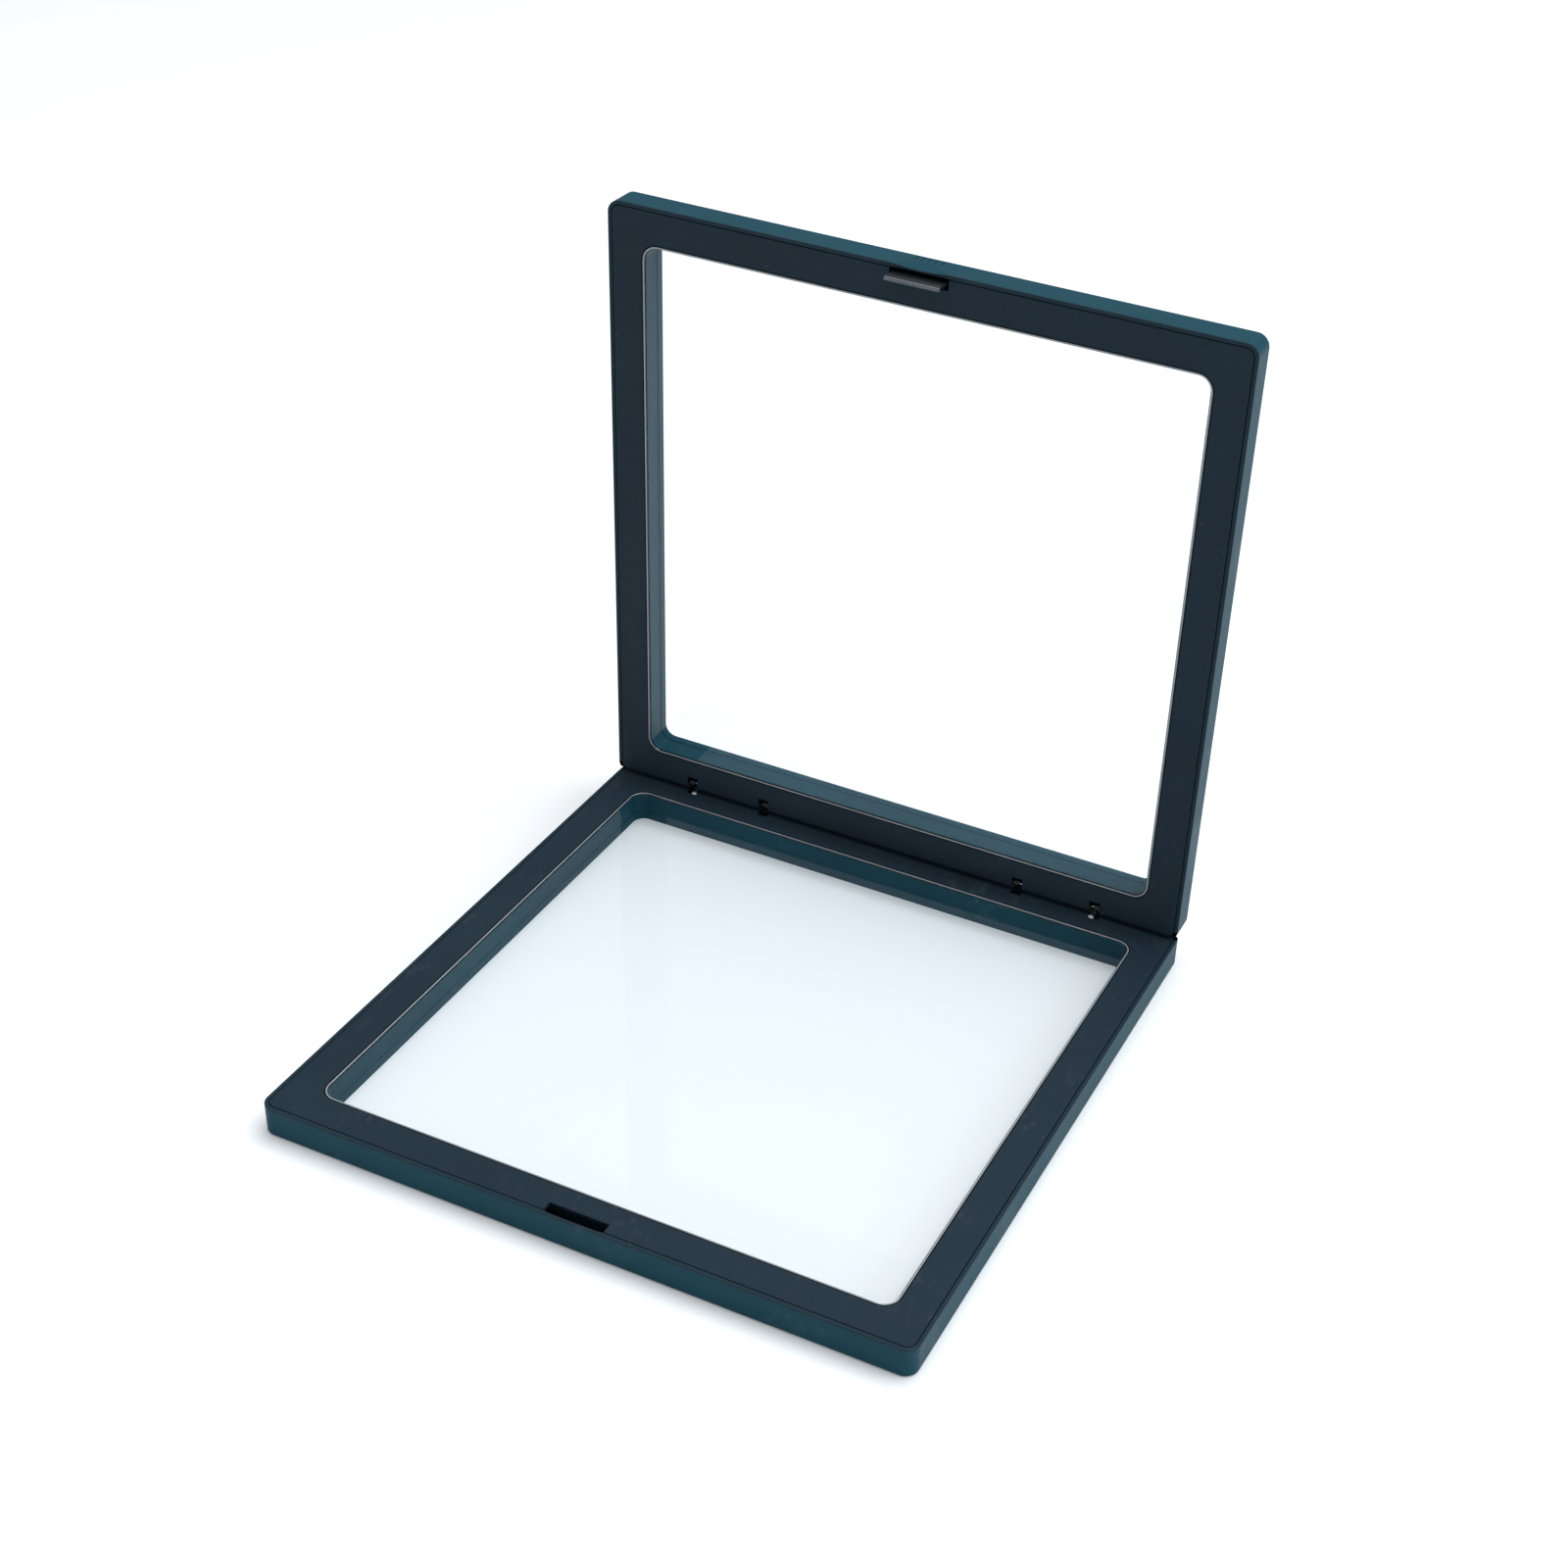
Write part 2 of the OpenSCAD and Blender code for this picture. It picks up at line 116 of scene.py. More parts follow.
class CaseSizes(bpy.types.PropertyGroup):
    """Sizes of the moulded shells and their inner panels"""
    latch_corner: length("Latch corner radius", "Radius of the corners on the latch edge", 0.004)
    hinge_corner: length("Hinge corner radius", "Radius of the corners on the hinge edge", 0.003)
    outer_round: length("Outer edge radius", "Radius round the edge of the outer face", 0.0009)
    rim: length("Rim width", "Thickness of the side wall, seen as the rim", 0.00115)
    plate: length("Outer face thickness", "Thickness of the outer face", 0.0016)
    window_wall: length("Window wall", "Thickness of the wall round the window", 0.0009)
    step_depth: length("Step depth", "Depth at which the window wall steps in", 0.007)
    step: length("Step width", "How far the window wall steps in", 0.0003)
    window_corner: length("Window corner radius", "Radius of the window's corners at the valley", 0.00535)
    valley: length("Valley width", "Gap between the panel and the film's bead", 0.0003)
    panel_t: length("Panel thickness", "Thickness of the inner panel", 0.0012)
    arris: length("Softened edge", "Width of the softening on moulded edges", 0.00014)
    panel_arris: length("Panel's softened edge", "Width of the softening on the panels", 0.000112)
    peg: length("Peg radius", "Radius of the pegs under the panel", 0.001)
    peg_gap: length("Peg clearance", "Clearance round a peg in its socket", 0.00005)
    socket: length("Socket radius", "Outer radius of the sockets that take the pegs", 0.0021)
    peg_in: length("Peg row", "Distance from the edge of the case to the row of pegs", 0.009)
    peg_length: length("Peg length", "Length of a peg", 0.004)
    pegs: IntProperty(name="Pegs", description="Pegs along each side", default=4, min=2, max=6)
    corner_steps: IntProperty(name="Corner steps", description="Facets round a corner", default=14,
                              min=4, max=32)
    outer_steps: IntProperty(name="Outer edge steps", description="Facets across the outer edge",
                             default=7, min=2, max=16)


class FilmSizes(bpy.types.PropertyGroup):
    """Sizes of the clear films and their beads"""
    bead: length("Bead width", "Width of the bead that holds the film", 0.0006)
    bead_drop: length("Bead drop", "Depth of the bead's crown below the inner face", 0.00005)
    crown: FloatProperty(name="Crown share", description="Share of the bead's width that each side rounds",
                         default=0.42, min=0.0, max=0.49)
    crown_steps: IntProperty(name="Crown steps", description="Facets across each side of the crown",
                             default=5, min=1, max=12)


class HingeSizes(bpy.types.PropertyGroup):
    """Sizes of the hinge clips, pins and rivets"""
    clip_x: length("Clip distance", "From the middle of the case to the middle of a clip", 0.05875)
    notch_pitch: length("Notch pitch", "Distance between the two notches of a clip", 0.0265)
    notch_w: length("Notch width", "Width of a notch", 0.0037)
    notch_l: length("Notch length", "Length of a notch from the hinge edge", 0.005)
    notch_deep: length("Notch depth", "Depth of the notches in the upper shell", 0.0044)
    arm_w: length("Arm width", "Width of a clip's arm", 0.0019)
    arm_t: length("Arm thickness", "Thickness of a clip's arm", 0.0016)
    arm_shift: length("Arm shift", "How far an arm stands to the outer side of its notch", 0.0006)
    knuckle: length("Knuckle radius", "Radius of the round end of an arm", 0.0015)
    shoulder_w: length("Shoulder width", "Width of the shoulder beside a clip's arm", 0.0013)
    shoulder_up: length("Shoulder height", "Height of the shoulder above the inner face", 0.0017)
    pin: length("Pin radius", "Radius of a hinge pin", 0.0005)
    pin_l: length("Pin length", "Length of a hinge pin", 0.0056)
    pin_stub: length("Pin stub", "How far a pin stands out of its arm's free side", 0.0001)
    plate_t: length("Clip plate thickness", "Thickness of a clip's plate", 0.00125)
    plate_l: length("Clip plate length", "Length of a clip's plate", 0.0052)
    plate_gap: length("Clip gap", "Gap between the panel and a clip's plate", 0.00015)
    rim_gap: length("Rim gap", "Gap between the rim and a clip", 0.0001)
    clip_arris: length("Clip's softened edge", "Width of the softening on a clip", 0.00012)
    pin_arris: length("Pin's softened edge", "Width of the softening on a pin", 0.0001)
    rivet: length("Rivet radius", "Radius of a rivet's shank", 0.0005)
    rivet_head: length("Rivet head radius", "Radius of a rivet's head", 0.001)
    rivet_rise: length("Rivet head height", "Height of a rivet's head", 0.00125)
    rivet_crown: length("Rivet crown", "Height of the rounded crown on a rivet's head", 0.00055)
    dimple: length("Dimple radius", "Radius of the hollow in a rivet's head", 0.00032)
    dimple_t: length("Dimple depth", "Depth of the hollow in a rivet's head", 0.0005)
    rivet_l: length("Rivet length", "Length of a rivet's shank", 0.0032)
    rivet_v: length("Rivet place", "Distance from the hinge edge to a rivet", 0.00395)
    rivet_shift: length("Rivet shift", "Distance from the notch's middle to its rivet", 0.00075)
    rivet_arris: length("Rivet's softened edge", "Width of the softening on a rivet", 0.00004)


class LatchSizes(bpy.types.PropertyGroup):
    """Sizes of the latch"""
    slot_w: length("Slot width", "Width of the latch slots", 0.0184)
    slot_in: length("Slot length", "Length of the latch slots from the latch edge", 0.0045)
    hook_w: length("Hook width", "Width of the hook", 0.017)
    hook_proud: length("Hook height", "How far the hook stands out of the inner face", 0.005)
    stem_out: length("Stem place", "Distance from the latch edge to the hook's stem", 0.00235)
    stem_t: length("Stem thickness", "Thickness of the hook's stem", 0.001)
    barb_out: length("Barb place", "Distance from the latch edge to the tip of the barb", 0.00185)
    barb_l: length("Barb length", "Length of the barb's ramp", 0.0015)
    barb_heel: length("Barb heel", "Height of the upright part behind the barb's ramp", 0.0002)
    barb_tuck: length("Barb tuck", "How far the ramp's top lies inside the stem", 0.0002)
    foot_gap: length("Foot gap", "Gap between the hook's foot and the outer face's plate", 0.0003)
    foot_t: length("Foot thickness", "Thickness of the hook's foot", 0.0017)
    foot_out: length("Foot place", "Distance from the latch edge to the hook's foot", 0.00145)
    foot_l: length("Foot length", "Length of the hook's foot", 0.006)
    hook_arris: length("Hook's softened edge", "Width of the softening on the hook", 0.00012)
    scallop_w: length("Scallop width", "Width of the thumb scallop", 0.018)
    scallop_cut: length("Scallop depth", "Depth of the thumb scallop", 0.0006)
    scallop_l: length("Scallop length", "How far the scallop runs towards the outer face", 0.0046)
    grips: IntProperty(name="Grip grooves", description="Grooves behind the scallop", default=5,
                       min=0, max=9)
    grip_pitch: length("Grip pitch", "Distance from one grip groove to the next", 0.002)
    grip_w: length("Grip width", "Width of a grip groove", 0.0006)
    grip_cut: length("Grip depth", "Depth of a grip groove", 0.00025)
    grip_start: length("Grip start", "Distance from the scallop to the grip grooves", 0.001)
    grip_end: length("Grip end", "Distance from the scallop to the grip grooves' far end", 0.0034)
    arch_depth: length("Arch depth", "Depth of the lower rim's arch and of the keeper", 0.0014)
    keeper_w: length("Keeper width", "Width of the keeper", 0.018)
    lip_t: length("Lip thickness", "How far the keeper's lip stands out of the rim", 0.00095)
    lip_h: length("Lip height", "Height of the keeper's lip", 0.00135)
    strip_t: length("Strip thickness", "Thickness of the keeper's strip", 0.00035)
    strip_start: length("Strip start", "Distance from the lip's top to the strip", 0.0005)
    strip_end: length("Strip end", "Distance from the lip's top to the strip's end", 0.0056)
    keeper_arris: length("Keeper's softened edge", "Width of the softening on the keeper", 0.0001)


class Finishes(bpy.types.PropertyGroup):
    """Colours of the finishes; the shell colour is painted light on the shells' sides and walls, and the
    bead colour a painted highlight on the beads' crowns
    """
    # The shell colour is painted light: the shells are one dark plastic, and this lighter teal on their
    # sides and window walls stands in for the light those faces catch.
    shell: colour("Shell", "Moulded plastic of the shells' sides and walls", (0.0085, 0.055, 0.080))
    rim: colour("Rim", "Moulded plastic of the shells' inner face", (0.0115, 0.029, 0.042))
    panel: colour("Panel", "Moulded plastic of the inner panels", (0.0128, 0.0262, 0.0405))
    # The bead colour is a painted highlight along each bead's crown.
    bead: colour("Bead", "Crown of the beads round the films", (0.27, 0.285, 0.30))
    # The worn colour makes the front of the hook's ramp paler.
    worn: colour("Worn ramp", "Rubbed ramp of the latch hook", (0.17, 0.19, 0.21))
    clip: colour("Clip", "Moulded plastic of the hinge clips", (0.006, 0.010, 0.013))
    dust: colour("Dust", "Dust and rubbed spots", (0.50, 0.52, 0.55))
    film: colour("Film", "Tint of the clear film", (0.985, 0.995, 1.0))
    steel: colour("Steel", "Pins and rivets", (0.80, 0.82, 0.84))
    floor: colour("Floor", "The floor under the frame", (0.90, 0.91, 0.92))


class StageSizes(bpy.types.PropertyGroup):
    """Camera and lights"""
    lens: FloatProperty(name="Lens", description="Focal length", default=55.26, unit="CAMERA")
    heading: FloatProperty(name="Heading", description="Turn of the view to the left of +Y",
                           default=math.radians(21.98), unit="ROTATION")
    pitch: FloatProperty(name="Pitch", description="Slope of the view below level",
                         default=math.radians(34.58), unit="ROTATION")
    roll: FloatProperty(name="Roll", description="Roll of the camera", default=math.radians(4.10),
                        unit="ROTATION")
    eye: position("Eye", "Place of the camera", (0.25629, -0.49392, 0.45923))
    shift: FloatVectorProperty(name="Shift", description="Sideways and upward shift of the picture",
                               default=(-0.1025, 0.0322), size=2)
    floor_size: length("Floor size", "Side of the square floor", 14.0)
    near: length("Near limit", "Nearest distance that the camera sees", 0.01)
    far: length("Far limit", "Farthest distance that the camera sees", 60.0)
    sky: FloatProperty(name="Room light", description="Strength of the even light", default=0.45)
    sky_tint: colour("Room tint", "Colour of the even light", (0.94, 0.97, 1.0))
    aim: position("Aim", "Place that the softboxes face", (0, 0, 0.05))
    overhead: FloatProperty(name="Overhead light", description="Power of the softbox overhead",
                            default=38.0, unit="POWER")
    overhead_place: position("Overhead place", "Place of the softbox overhead", (0.3, 0.5, 1.9))
    overhead_size: length("Overhead size", "Side of the softbox overhead", 1.8)
    overhead_tint: colour("Overhead tint", "Colour of the softbox overhead", (0.97, 0.99, 1.0))
    side: FloatProperty(name="Side light", description="Power of the softbox on the right",
                        default=8.0, unit="POWER")
    side_place: position("Side place", "Place of the softbox on the right", (1.7, 0.2, 0.8))
    side_size: length("Side size", "Side of the softbox on the right", 1.1)
    side_tint: colour("Side tint", "Colour of the softbox on the right", (0.72, 0.95, 1.0))


GROUPS = {
    "frame_case": CaseSizes,
    "frame_film": FilmSizes,
    "frame_hinge": HingeSizes,
    "frame_latch": LatchSizes,
    "frame_finish": Finishes,
    "frame_stage": StageSizes,
}


# ---------------------------------------------------------------- modelling helpers

def deselect():
    """Leaves edit mode and selects nothing."""
    if bpy.context.object and bpy.context.object.mode != "OBJECT":
        bpy.ops.object.mode_set(mode="OBJECT")
    bpy.ops.object.select_all(action="DESELECT")


def pick(obj):
    """Makes obj the one selected, active object."""
    deselect()
    obj.select_set(True)
    bpy.context.view_layer.objects.active = obj


def take(name):
    """Names the primitive that was just added and returns it."""
    obj = bpy.context.object
    obj.name = name
    obj.data.name = name
    return obj


def settle():
    """Puts the active object's place, turn and scale into its mesh."""
    bpy.ops.object.transform_apply(location=True, rotation=True, scale=True)


def select_where(kind, test):
    """In edit mode, selects only the vertices, edges or faces that pass the test."""
    bpy.ops.mesh.select_mode(type=kind)
    bpy.ops.mesh.select_all(action="DESELECT")
    mesh = bmesh.from_edit_mesh(bpy.context.object.data)
    items = {"VERT": mesh.verts, "EDGE": mesh.edges, "FACE": mesh.faces}[kind]
    for item in items:
        if test(item):
            item.select_set(True)
    mesh.select_flush_mode()
    bmesh.update_edit_mesh(bpy.context.object.data)


def outward():
    """Turns all faces outwards."""
    bpy.ops.mesh.select_all(action="SELECT")
    bpy.ops.mesh.normals_make_consistent(inside=False)


def rounded_plate(name, inset, latch_r, hinge_r, top, back, steps):
    """A plate with rounded corners, drawn in from the case's outline by inset."""
    deselect()
    w = CASE_W - 2 * inset
    d = CASE_D - 2 * inset
    bpy.ops.mesh.primitive_plane_add(size=1, location=(0, CASE_D / 2, top))
    plate = take(name)
    plate.scale = (w, d, 1)
    settle()
    bpy.ops.object.mode_set(mode="EDIT")
    for radius, on_latch in ((latch_r, True), (hinge_r, False)):
        select_where("VERT", lambda v: (v.co.y > CASE_D / 2) == on_latch)
        bpy.ops.mesh.bevel(offset=radius, offset_type="OFFSET", segments=steps, affect="VERTICES")
    bpy.ops.mesh.select_all(action="SELECT")
    bpy.ops.mesh.extrude_region_move(TRANSFORM_OT_translate={"value": (0, 0, back - top)})
    outward()
    bpy.ops.object.mode_set(mode="OBJECT")
    return plate


def block(name, low, high):
    """A box between two corners, to be shaped further or cut with."""
    deselect()
    low, high = Vector(low), Vector(high)
    bpy.ops.mesh.primitive_cube_add(size=1, location=(low + high) / 2)
    box = take(name)
    box.scale = high - low
    settle()
    return box


def rod(name, radius, start, end, steps=40):
    """A round bar between two points."""
    deselect()
    start, end = Vector(start), Vector(end)
    axis = end - start
    bpy.ops.mesh.primitive_cylinder_add(vertices=steps, radius=radius, depth=axis.length,
                                        location=(start + end) / 2,
                                        rotation=axis.to_track_quat("Z", "X").to_euler())
    bar = take(name)
    settle()
    return bar


def combine(target, tools, operation):
    """Cuts the tools from the target, or adds them to it, and removes them."""
    for tool in tools:
        pick(target)
        bpy.ops.object.modifier_add(type="BOOLEAN")
        step = target.modifiers[-1]
        step.operation = operation
        step.solver = "EXACT"
        step.object = tool
        bpy.ops.object.modifier_apply(modifier=step.name)
        bpy.data.objects.remove(tool)
    return target


def cut(target, *tools):
    """Cuts the tools from the target."""
    return combine(target, tools, "DIFFERENCE")


def add(target, *tools):
    """Joins the tools to the target as one solid."""
    return combine(target, tools, "UNION")


def clean(obj):
    """Merges doubled points and turns the faces outwards."""
    pick(obj)
    bpy.ops.object.mode_set(mode="EDIT")
    bpy.ops.mesh.select_all(action="SELECT")
    bpy.ops.mesh.remove_doubles(threshold=2 * NEAR)
    outward()
    bpy.ops.object.mode_set(mode="OBJECT")


def soften(obj, width, steps=2, sharp=38.0, smooth=30.0, crisp=None):
    """Rounds edges over sharp degrees, and shades those under smooth ones, but for the crisp."""
    clean(obj)
    bpy.ops.object.modifier_add(type="BEVEL")
    bevel = obj.modifiers[-1]
    bevel.width = width
    bevel.segments = steps
    bevel.limit_method = "ANGLE"
    bevel.angle_limit = math.radians(sharp)
    bevel.use_clamp_overlap = False
    bevel.harden_normals = False
    bpy.ops.object.modifier_apply(modifier=bevel.name)
    bpy.ops.object.shade_smooth_by_angle(angle=math.radians(smooth))
    if crisp:
        bpy.ops.object.mode_set(mode="EDIT")
        select_where("EDGE", crisp)
        bpy.ops.mesh.mark_sharp()
        bpy.ops.object.mode_set(mode="OBJECT")
    bpy.ops.object.modifier_add(type="WEIGHTED_NORMAL")
    weights = obj.modifiers[-1]
    weights.keep_sharp = True
    bpy.ops.object.modifier_apply(modifier=weights.name)


def copy_of(obj, name):
    """A copy with its own mesh."""
    twin = obj.copy()
    twin.data = obj.data.copy()
    twin.name = name
    twin.data.name = name
    bpy.context.collection.objects.link(twin)
    return twin


def set_in(obj, half):
    """Notes where each point lies in the flat drawing, then moves the piece into its half."""
    pick(obj)
    flat = obj.data.attributes.new("flat", "FLOAT_VECTOR", "POINT")
    flat.data.foreach_set("vector", [c for v in obj.data.vertices for c in v.co])
    obj.matrix_world = PLACES[half] @ obj.matrix_world
    settle()


def hand_over(obj, node, body, finish):
    """Gives the finished piece its finish and its body, and hides the CAD node that it stands for."""
    obj.data.materials.clear()
    obj.data.materials.append(finish)
    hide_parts(node)
    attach(obj, body)


def both_ways():
    """The four notches: clip side (-1, 1) and arm (-1, 1)."""
    return [(clip, arm) for clip in (-1, 1) for arm in (-1, 1)]


def notch_x(hinge, clip, arm):
    """Middle of a notch."""
    return clip * hinge.clip_x + arm * hinge.notch_pitch / 2


def clip_top(case, hinge):
    """Depth at which the clips' plates begin."""
    return case.panel_t + hinge.plate_gap


def peg_places(case):
    """Centres of the pegs along the four sides."""
    run_x = CASE_W - 2 * case.peg_in
    run_y = CASE_D - 2 * case.peg_in
    places = []
    for i in range(case.pegs):
        along = (i + 0.5) / case.pegs - 0.5
        for side in (-0.5, 0.5):
            places.append((side * run_x, CASE_D / 2 + along * run_y))
            places.append((along * run_x, CASE_D / 2 + side * run_y))
    return places


# ---------------------------------------------------------------- finishes

# Where the finishes fade in, from none to full, in metres. All but LYING_HALF are places in a
# piece's flat drawing.
# The next line also sets where the painted teal light of the shells' sides and walls gives way to the inner
# face's own dark colour.
INNER_FACE = (0.0008, 0.0002)
HINGE_SIDE = (0.016, 0.003)
# The next line sets where the painted highlight on each bead's crown fades in.
BEAD_HIGHLIGHT = (0.00017, 0.00008)
# The next line sets where the front of the hook's ramp turns paler.
PALE_RAMP_FRONT = (-0.0042, -0.0047)
LYING_HALF = (0.012, 0.010)


class Recipe:
    """A new material and short calls to add and join its nodes."""

    def __init__(self, name):
        self.material = bpy.data.materials.new(name)
        self.material.use_nodes = True
        self.nodes = self.material.node_tree.nodes
        self.links = self.material.node_tree.links
        self.shader = self.nodes["Principled BSDF"]
        self.output = self.nodes["Material Output"]
        self.place = self.add("ShaderNodeTexCoord").outputs["Object"]

    def add(self, kind, **settings):
        """A node with its settings."""
        node = self.nodes.new(kind)
        for key, value in settings.items():
            setattr(node, key, value)
        return node

    def join(self, source, target):
        """Links an output to an input."""
        self.links.new(source, target)

    def drawn(self, axis):
        """Across, along or deep (X, Y or Z) in the piece's flat drawing, in metres."""
        flat = self.add("ShaderNodeAttribute", attribute_name="flat")
        parts = self.add("ShaderNodeSeparateXYZ")
        self.join(flat.outputs["Vector"], parts.inputs["Vector"])
        return parts.outputs[axis]

    def noise(self, scale, detail=4.0, roughness=0.55, stretch=None):
        """Noise in the piece's own space, in cycles a metre."""
        node = self.add("ShaderNodeTexNoise")
        node.inputs["Scale"].default_value = scale
        node.inputs["Detail"].default_value = detail
        node.inputs["Roughness"].default_value = roughness
        place = self.place
        if stretch:
            mapping = self.add("ShaderNodeMapping")
            mapping.inputs["Scale"].default_value = stretch
            self.join(self.place, mapping.inputs["Vector"])
            place = mapping.outputs["Vector"]
        self.join(place, node.inputs["Vector"])
        return node.outputs["Fac"]

    def specks(self, scale, size, share):
        """1 on small round specks and 0 elsewhere: only a share of the cells has one."""
        cells = self.add("ShaderNodeTexVoronoi", feature="F1")
        cells.inputs["Scale"].default_value = scale
        cells.inputs["Randomness"].default_value = 1.0
        self.join(self.place, cells.inputs["Vector"])
        near = self.ramp(cells.outputs["Distance"], size, size * 0.5)
        chosen = self.add("ShaderNodeSeparateColor")
        self.join(cells.outputs["Color"], chosen.inputs["Color"])
        some = self.ramp(chosen.outputs["Red"], 1.0 - share, 1.0 - share + 0.02)
        return self.maths("MULTIPLY", near, some)

    def ramp(self, value, start, end):
        """0 at start, 1 at end."""
        node = self.add("ShaderNodeMapRange", interpolation_type="SMOOTHSTEP")
        node.inputs["From Min"].default_value = min(start, end)
        node.inputs["From Max"].default_value = max(start, end)
        node.inputs["To Min"].default_value = 0.0 if start < end else 1.0
        node.inputs["To Max"].default_value = 1.0 if start < end else 0.0
        self.join(value, node.inputs["Value"])
        return node.outputs["Result"]

    def spread(self, value, low, high):
        """The value's 0 to 1 spread over low to high."""
        node = self.add("ShaderNodeMapRange")
        node.inputs["To Min"].default_value = low
        node.inputs["To Max"].default_value = high
        self.join(value, node.inputs["Value"])
        return node.outputs["Result"]

    def maths(self, operation, first, second):
        """Two values, or a value and a number, worked together."""
        node = self.add("ShaderNodeMath", operation=operation)
        for socket, value in zip(node.inputs, (first, second)):
            if isinstance(value, (int, float)):
                socket.default_value = value
            else:
                self.join(value, socket)
        return node.outputs["Value"]

    def blend(self, share, first, second):
        """A colour between two others."""
        node = self.add("ShaderNodeMix", data_type="RGBA")
        self.join(share, node.inputs["Factor"])
        for name, value in (("A", first), ("B", second)):
            socket = next(s for s in node.inputs if s.name == name and s.type == "RGBA")
            if isinstance(value, bpy.types.NodeSocket):
                self.join(value, socket)
            else:
                socket.default_value = (*value, 1.0)
        return next(s for s in node.outputs if s.type == "RGBA")

    def shaded(self, tint, shade):
        """A tint, or another node's colour, made darker or lighter by shade."""
        node = self.add("ShaderNodeVectorMath", operation="SCALE")
        if isinstance(tint, bpy.types.NodeSocket):
            self.join(tint, node.inputs[0])
        else:
            node.inputs[0].default_value = tint
        self.join(shade, node.inputs["Scale"])
        return node.outputs["Vector"]

    def bump(self, height, strength, distance):
        """A normal from a height between 0 and 1, which stands for distance metres."""
        node = self.add("ShaderNodeBump")
        node.inputs["Strength"].default_value = strength
        node.inputs["Distance"].default_value = distance
        self.join(height, node.inputs["Height"])
        return node.outputs["Normal"]


def moulded_plastic(name, tint, face_tint, dust, grain, roughness, dusty):
    """Matte moulded plastic: fine grain, colour drift, rubbed patches, haze and dust.

    The inner face has its own tint; the sides and the window walls have the other. On the shells that other
    tint is painted light: a lighter teal that stands in for the light the sides and walls catch, over the
    same dark plastic as the inner face.
    """
    recipe = Recipe(name)
    fine = recipe.noise(grain, 3.0)
    drift = recipe.noise(28.0, 3.0)
    face = recipe.ramp(recipe.drawn("Z"), *INNER_FACE)
    rubbed = recipe.ramp(recipe.noise(38.0, 4.0, 0.6), 0.47, 0.66)
    scuffs = recipe.ramp(recipe.noise(360.0, 5.0, 0.65, (1.0, 0.45, 1.0)), 0.50, 0.68)
    scuffs = recipe.maths("MULTIPLY", scuffs, rubbed)
    height = recipe.add("ShaderNodeSeparateXYZ")
    recipe.join(recipe.place, height.inputs["Vector"])
    lying = recipe.spread(recipe.ramp(height.outputs["Z"], *LYING_HALF), 0.3, 1.0)
    scuffs = recipe.maths("MULTIPLY", scuffs, lying)
    specks = recipe.specks(420.0, 0.07, dusty)
    value = recipe.maths("MULTIPLY", recipe.spread(drift, 0.84, 1.16), recipe.spread(fine, 0.88, 1.12))
    # On the shells this blend paints light: the lighter teal tint on the sides and walls, and the own dark
    # colour on the inner face.
    base = recipe.shaded(recipe.blend(face, tint, face_tint), value)
    hinge_side = recipe.ramp(recipe.drawn("Y"), *HINGE_SIDE)
    haze = recipe.maths("MULTIPLY", face, recipe.spread(hinge_side, 0.006, 0.011))
    worn = recipe.maths("ADD", haze, recipe.maths("MULTIPLY", scuffs, 0.035))
    worn = recipe.maths("ADD", worn, recipe.maths("MULTIPLY", specks, 0.30))
    recipe.join(recipe.blend(worn, base, dust), recipe.shader.inputs["Base Color"])
    rough = recipe.spread(drift, roughness - 0.04, roughness + 0.05)
    rough = recipe.maths("SUBTRACT", rough, recipe.maths("MULTIPLY", rubbed, 0.06))
    recipe.join(rough, recipe.shader.inputs["Roughness"])
    recipe.join(recipe.bump(fine, 0.35, 0.00004), recipe.shader.inputs["Normal"])
    recipe.shader.inputs["Specular IOR Level"].default_value = 0.07
    return recipe.material


def clear_film(name, tint, dust):
    """Thin clear film: see-through, mirroring more towards grazing, with a little dust."""
    recipe = Recipe(name)
    slack = recipe.noise(16.0, 2.0)
    normal = recipe.bump(slack, 0.12, 0.0004)
    clear = recipe.add("ShaderNodeBsdfTransparent")
    clear.inputs["Color"].default_value = (*tint, 1.0)
    mirror = recipe.shader
    mirror.inputs["Base Color"].default_value = (*dust, 1.0)
    mirror.inputs["Metallic"].default_value = 1.0
    mirror.inputs["Roughness"].default_value = 0.03
    recipe.join(normal, mirror.inputs["Normal"])
    facing = recipe.add("ShaderNodeLayerWeight")
    recipe.join(normal, facing.inputs["Normal"])
    grazing = recipe.maths("POWER", facing.outputs["Facing"], 5.0)
    mirrored = recipe.spread(grazing, 0.045, 1.0)
    specks = recipe.maths("MULTIPLY", recipe.specks(300.0, 0.08, 0.03), 0.25)
    share = recipe.maths("ADD", mirrored, specks)
    mix = recipe.add("ShaderNodeMixShader")
    recipe.join(share, mix.inputs["Fac"])
    recipe.join(clear.outputs["BSDF"], mix.inputs[1])
    recipe.join(mirror.outputs["BSDF"], mix.inputs[2])
    recipe.join(mix.outputs["Shader"], recipe.output.inputs["Surface"])
    return recipe.material


def glossy_bead(name, tint, highlight_tint):
    """Bead of welded film: glossy, dark on its flanks, with a painted highlight in pale along its crown."""
    recipe = Recipe(name)
    uneven = recipe.noise(900.0, 3.0)
    # A painted highlight: the crown nearest the inner face turns pale, and the flanks stay dark.
    crown = recipe.ramp(recipe.drawn("Z"), *BEAD_HIGHLIGHT)
    base = recipe.shaded(recipe.blend(crown, tint, highlight_tint),
                         recipe.spread(recipe.noise(120.0, 3.0), 0.75, 1.25))
    recipe.join(base, recipe.shader.inputs["Base Color"])
    recipe.join(recipe.spread(uneven, 0.10, 0.22), recipe.shader.inputs["Roughness"])
    recipe.join(recipe.bump(uneven, 0.3, 0.00003), recipe.shader.inputs["Normal"])
    recipe.shader.inputs["Coat Weight"].default_value = 1.0
    recipe.shader.inputs["Coat Roughness"].default_value = 0.04
    return recipe.material


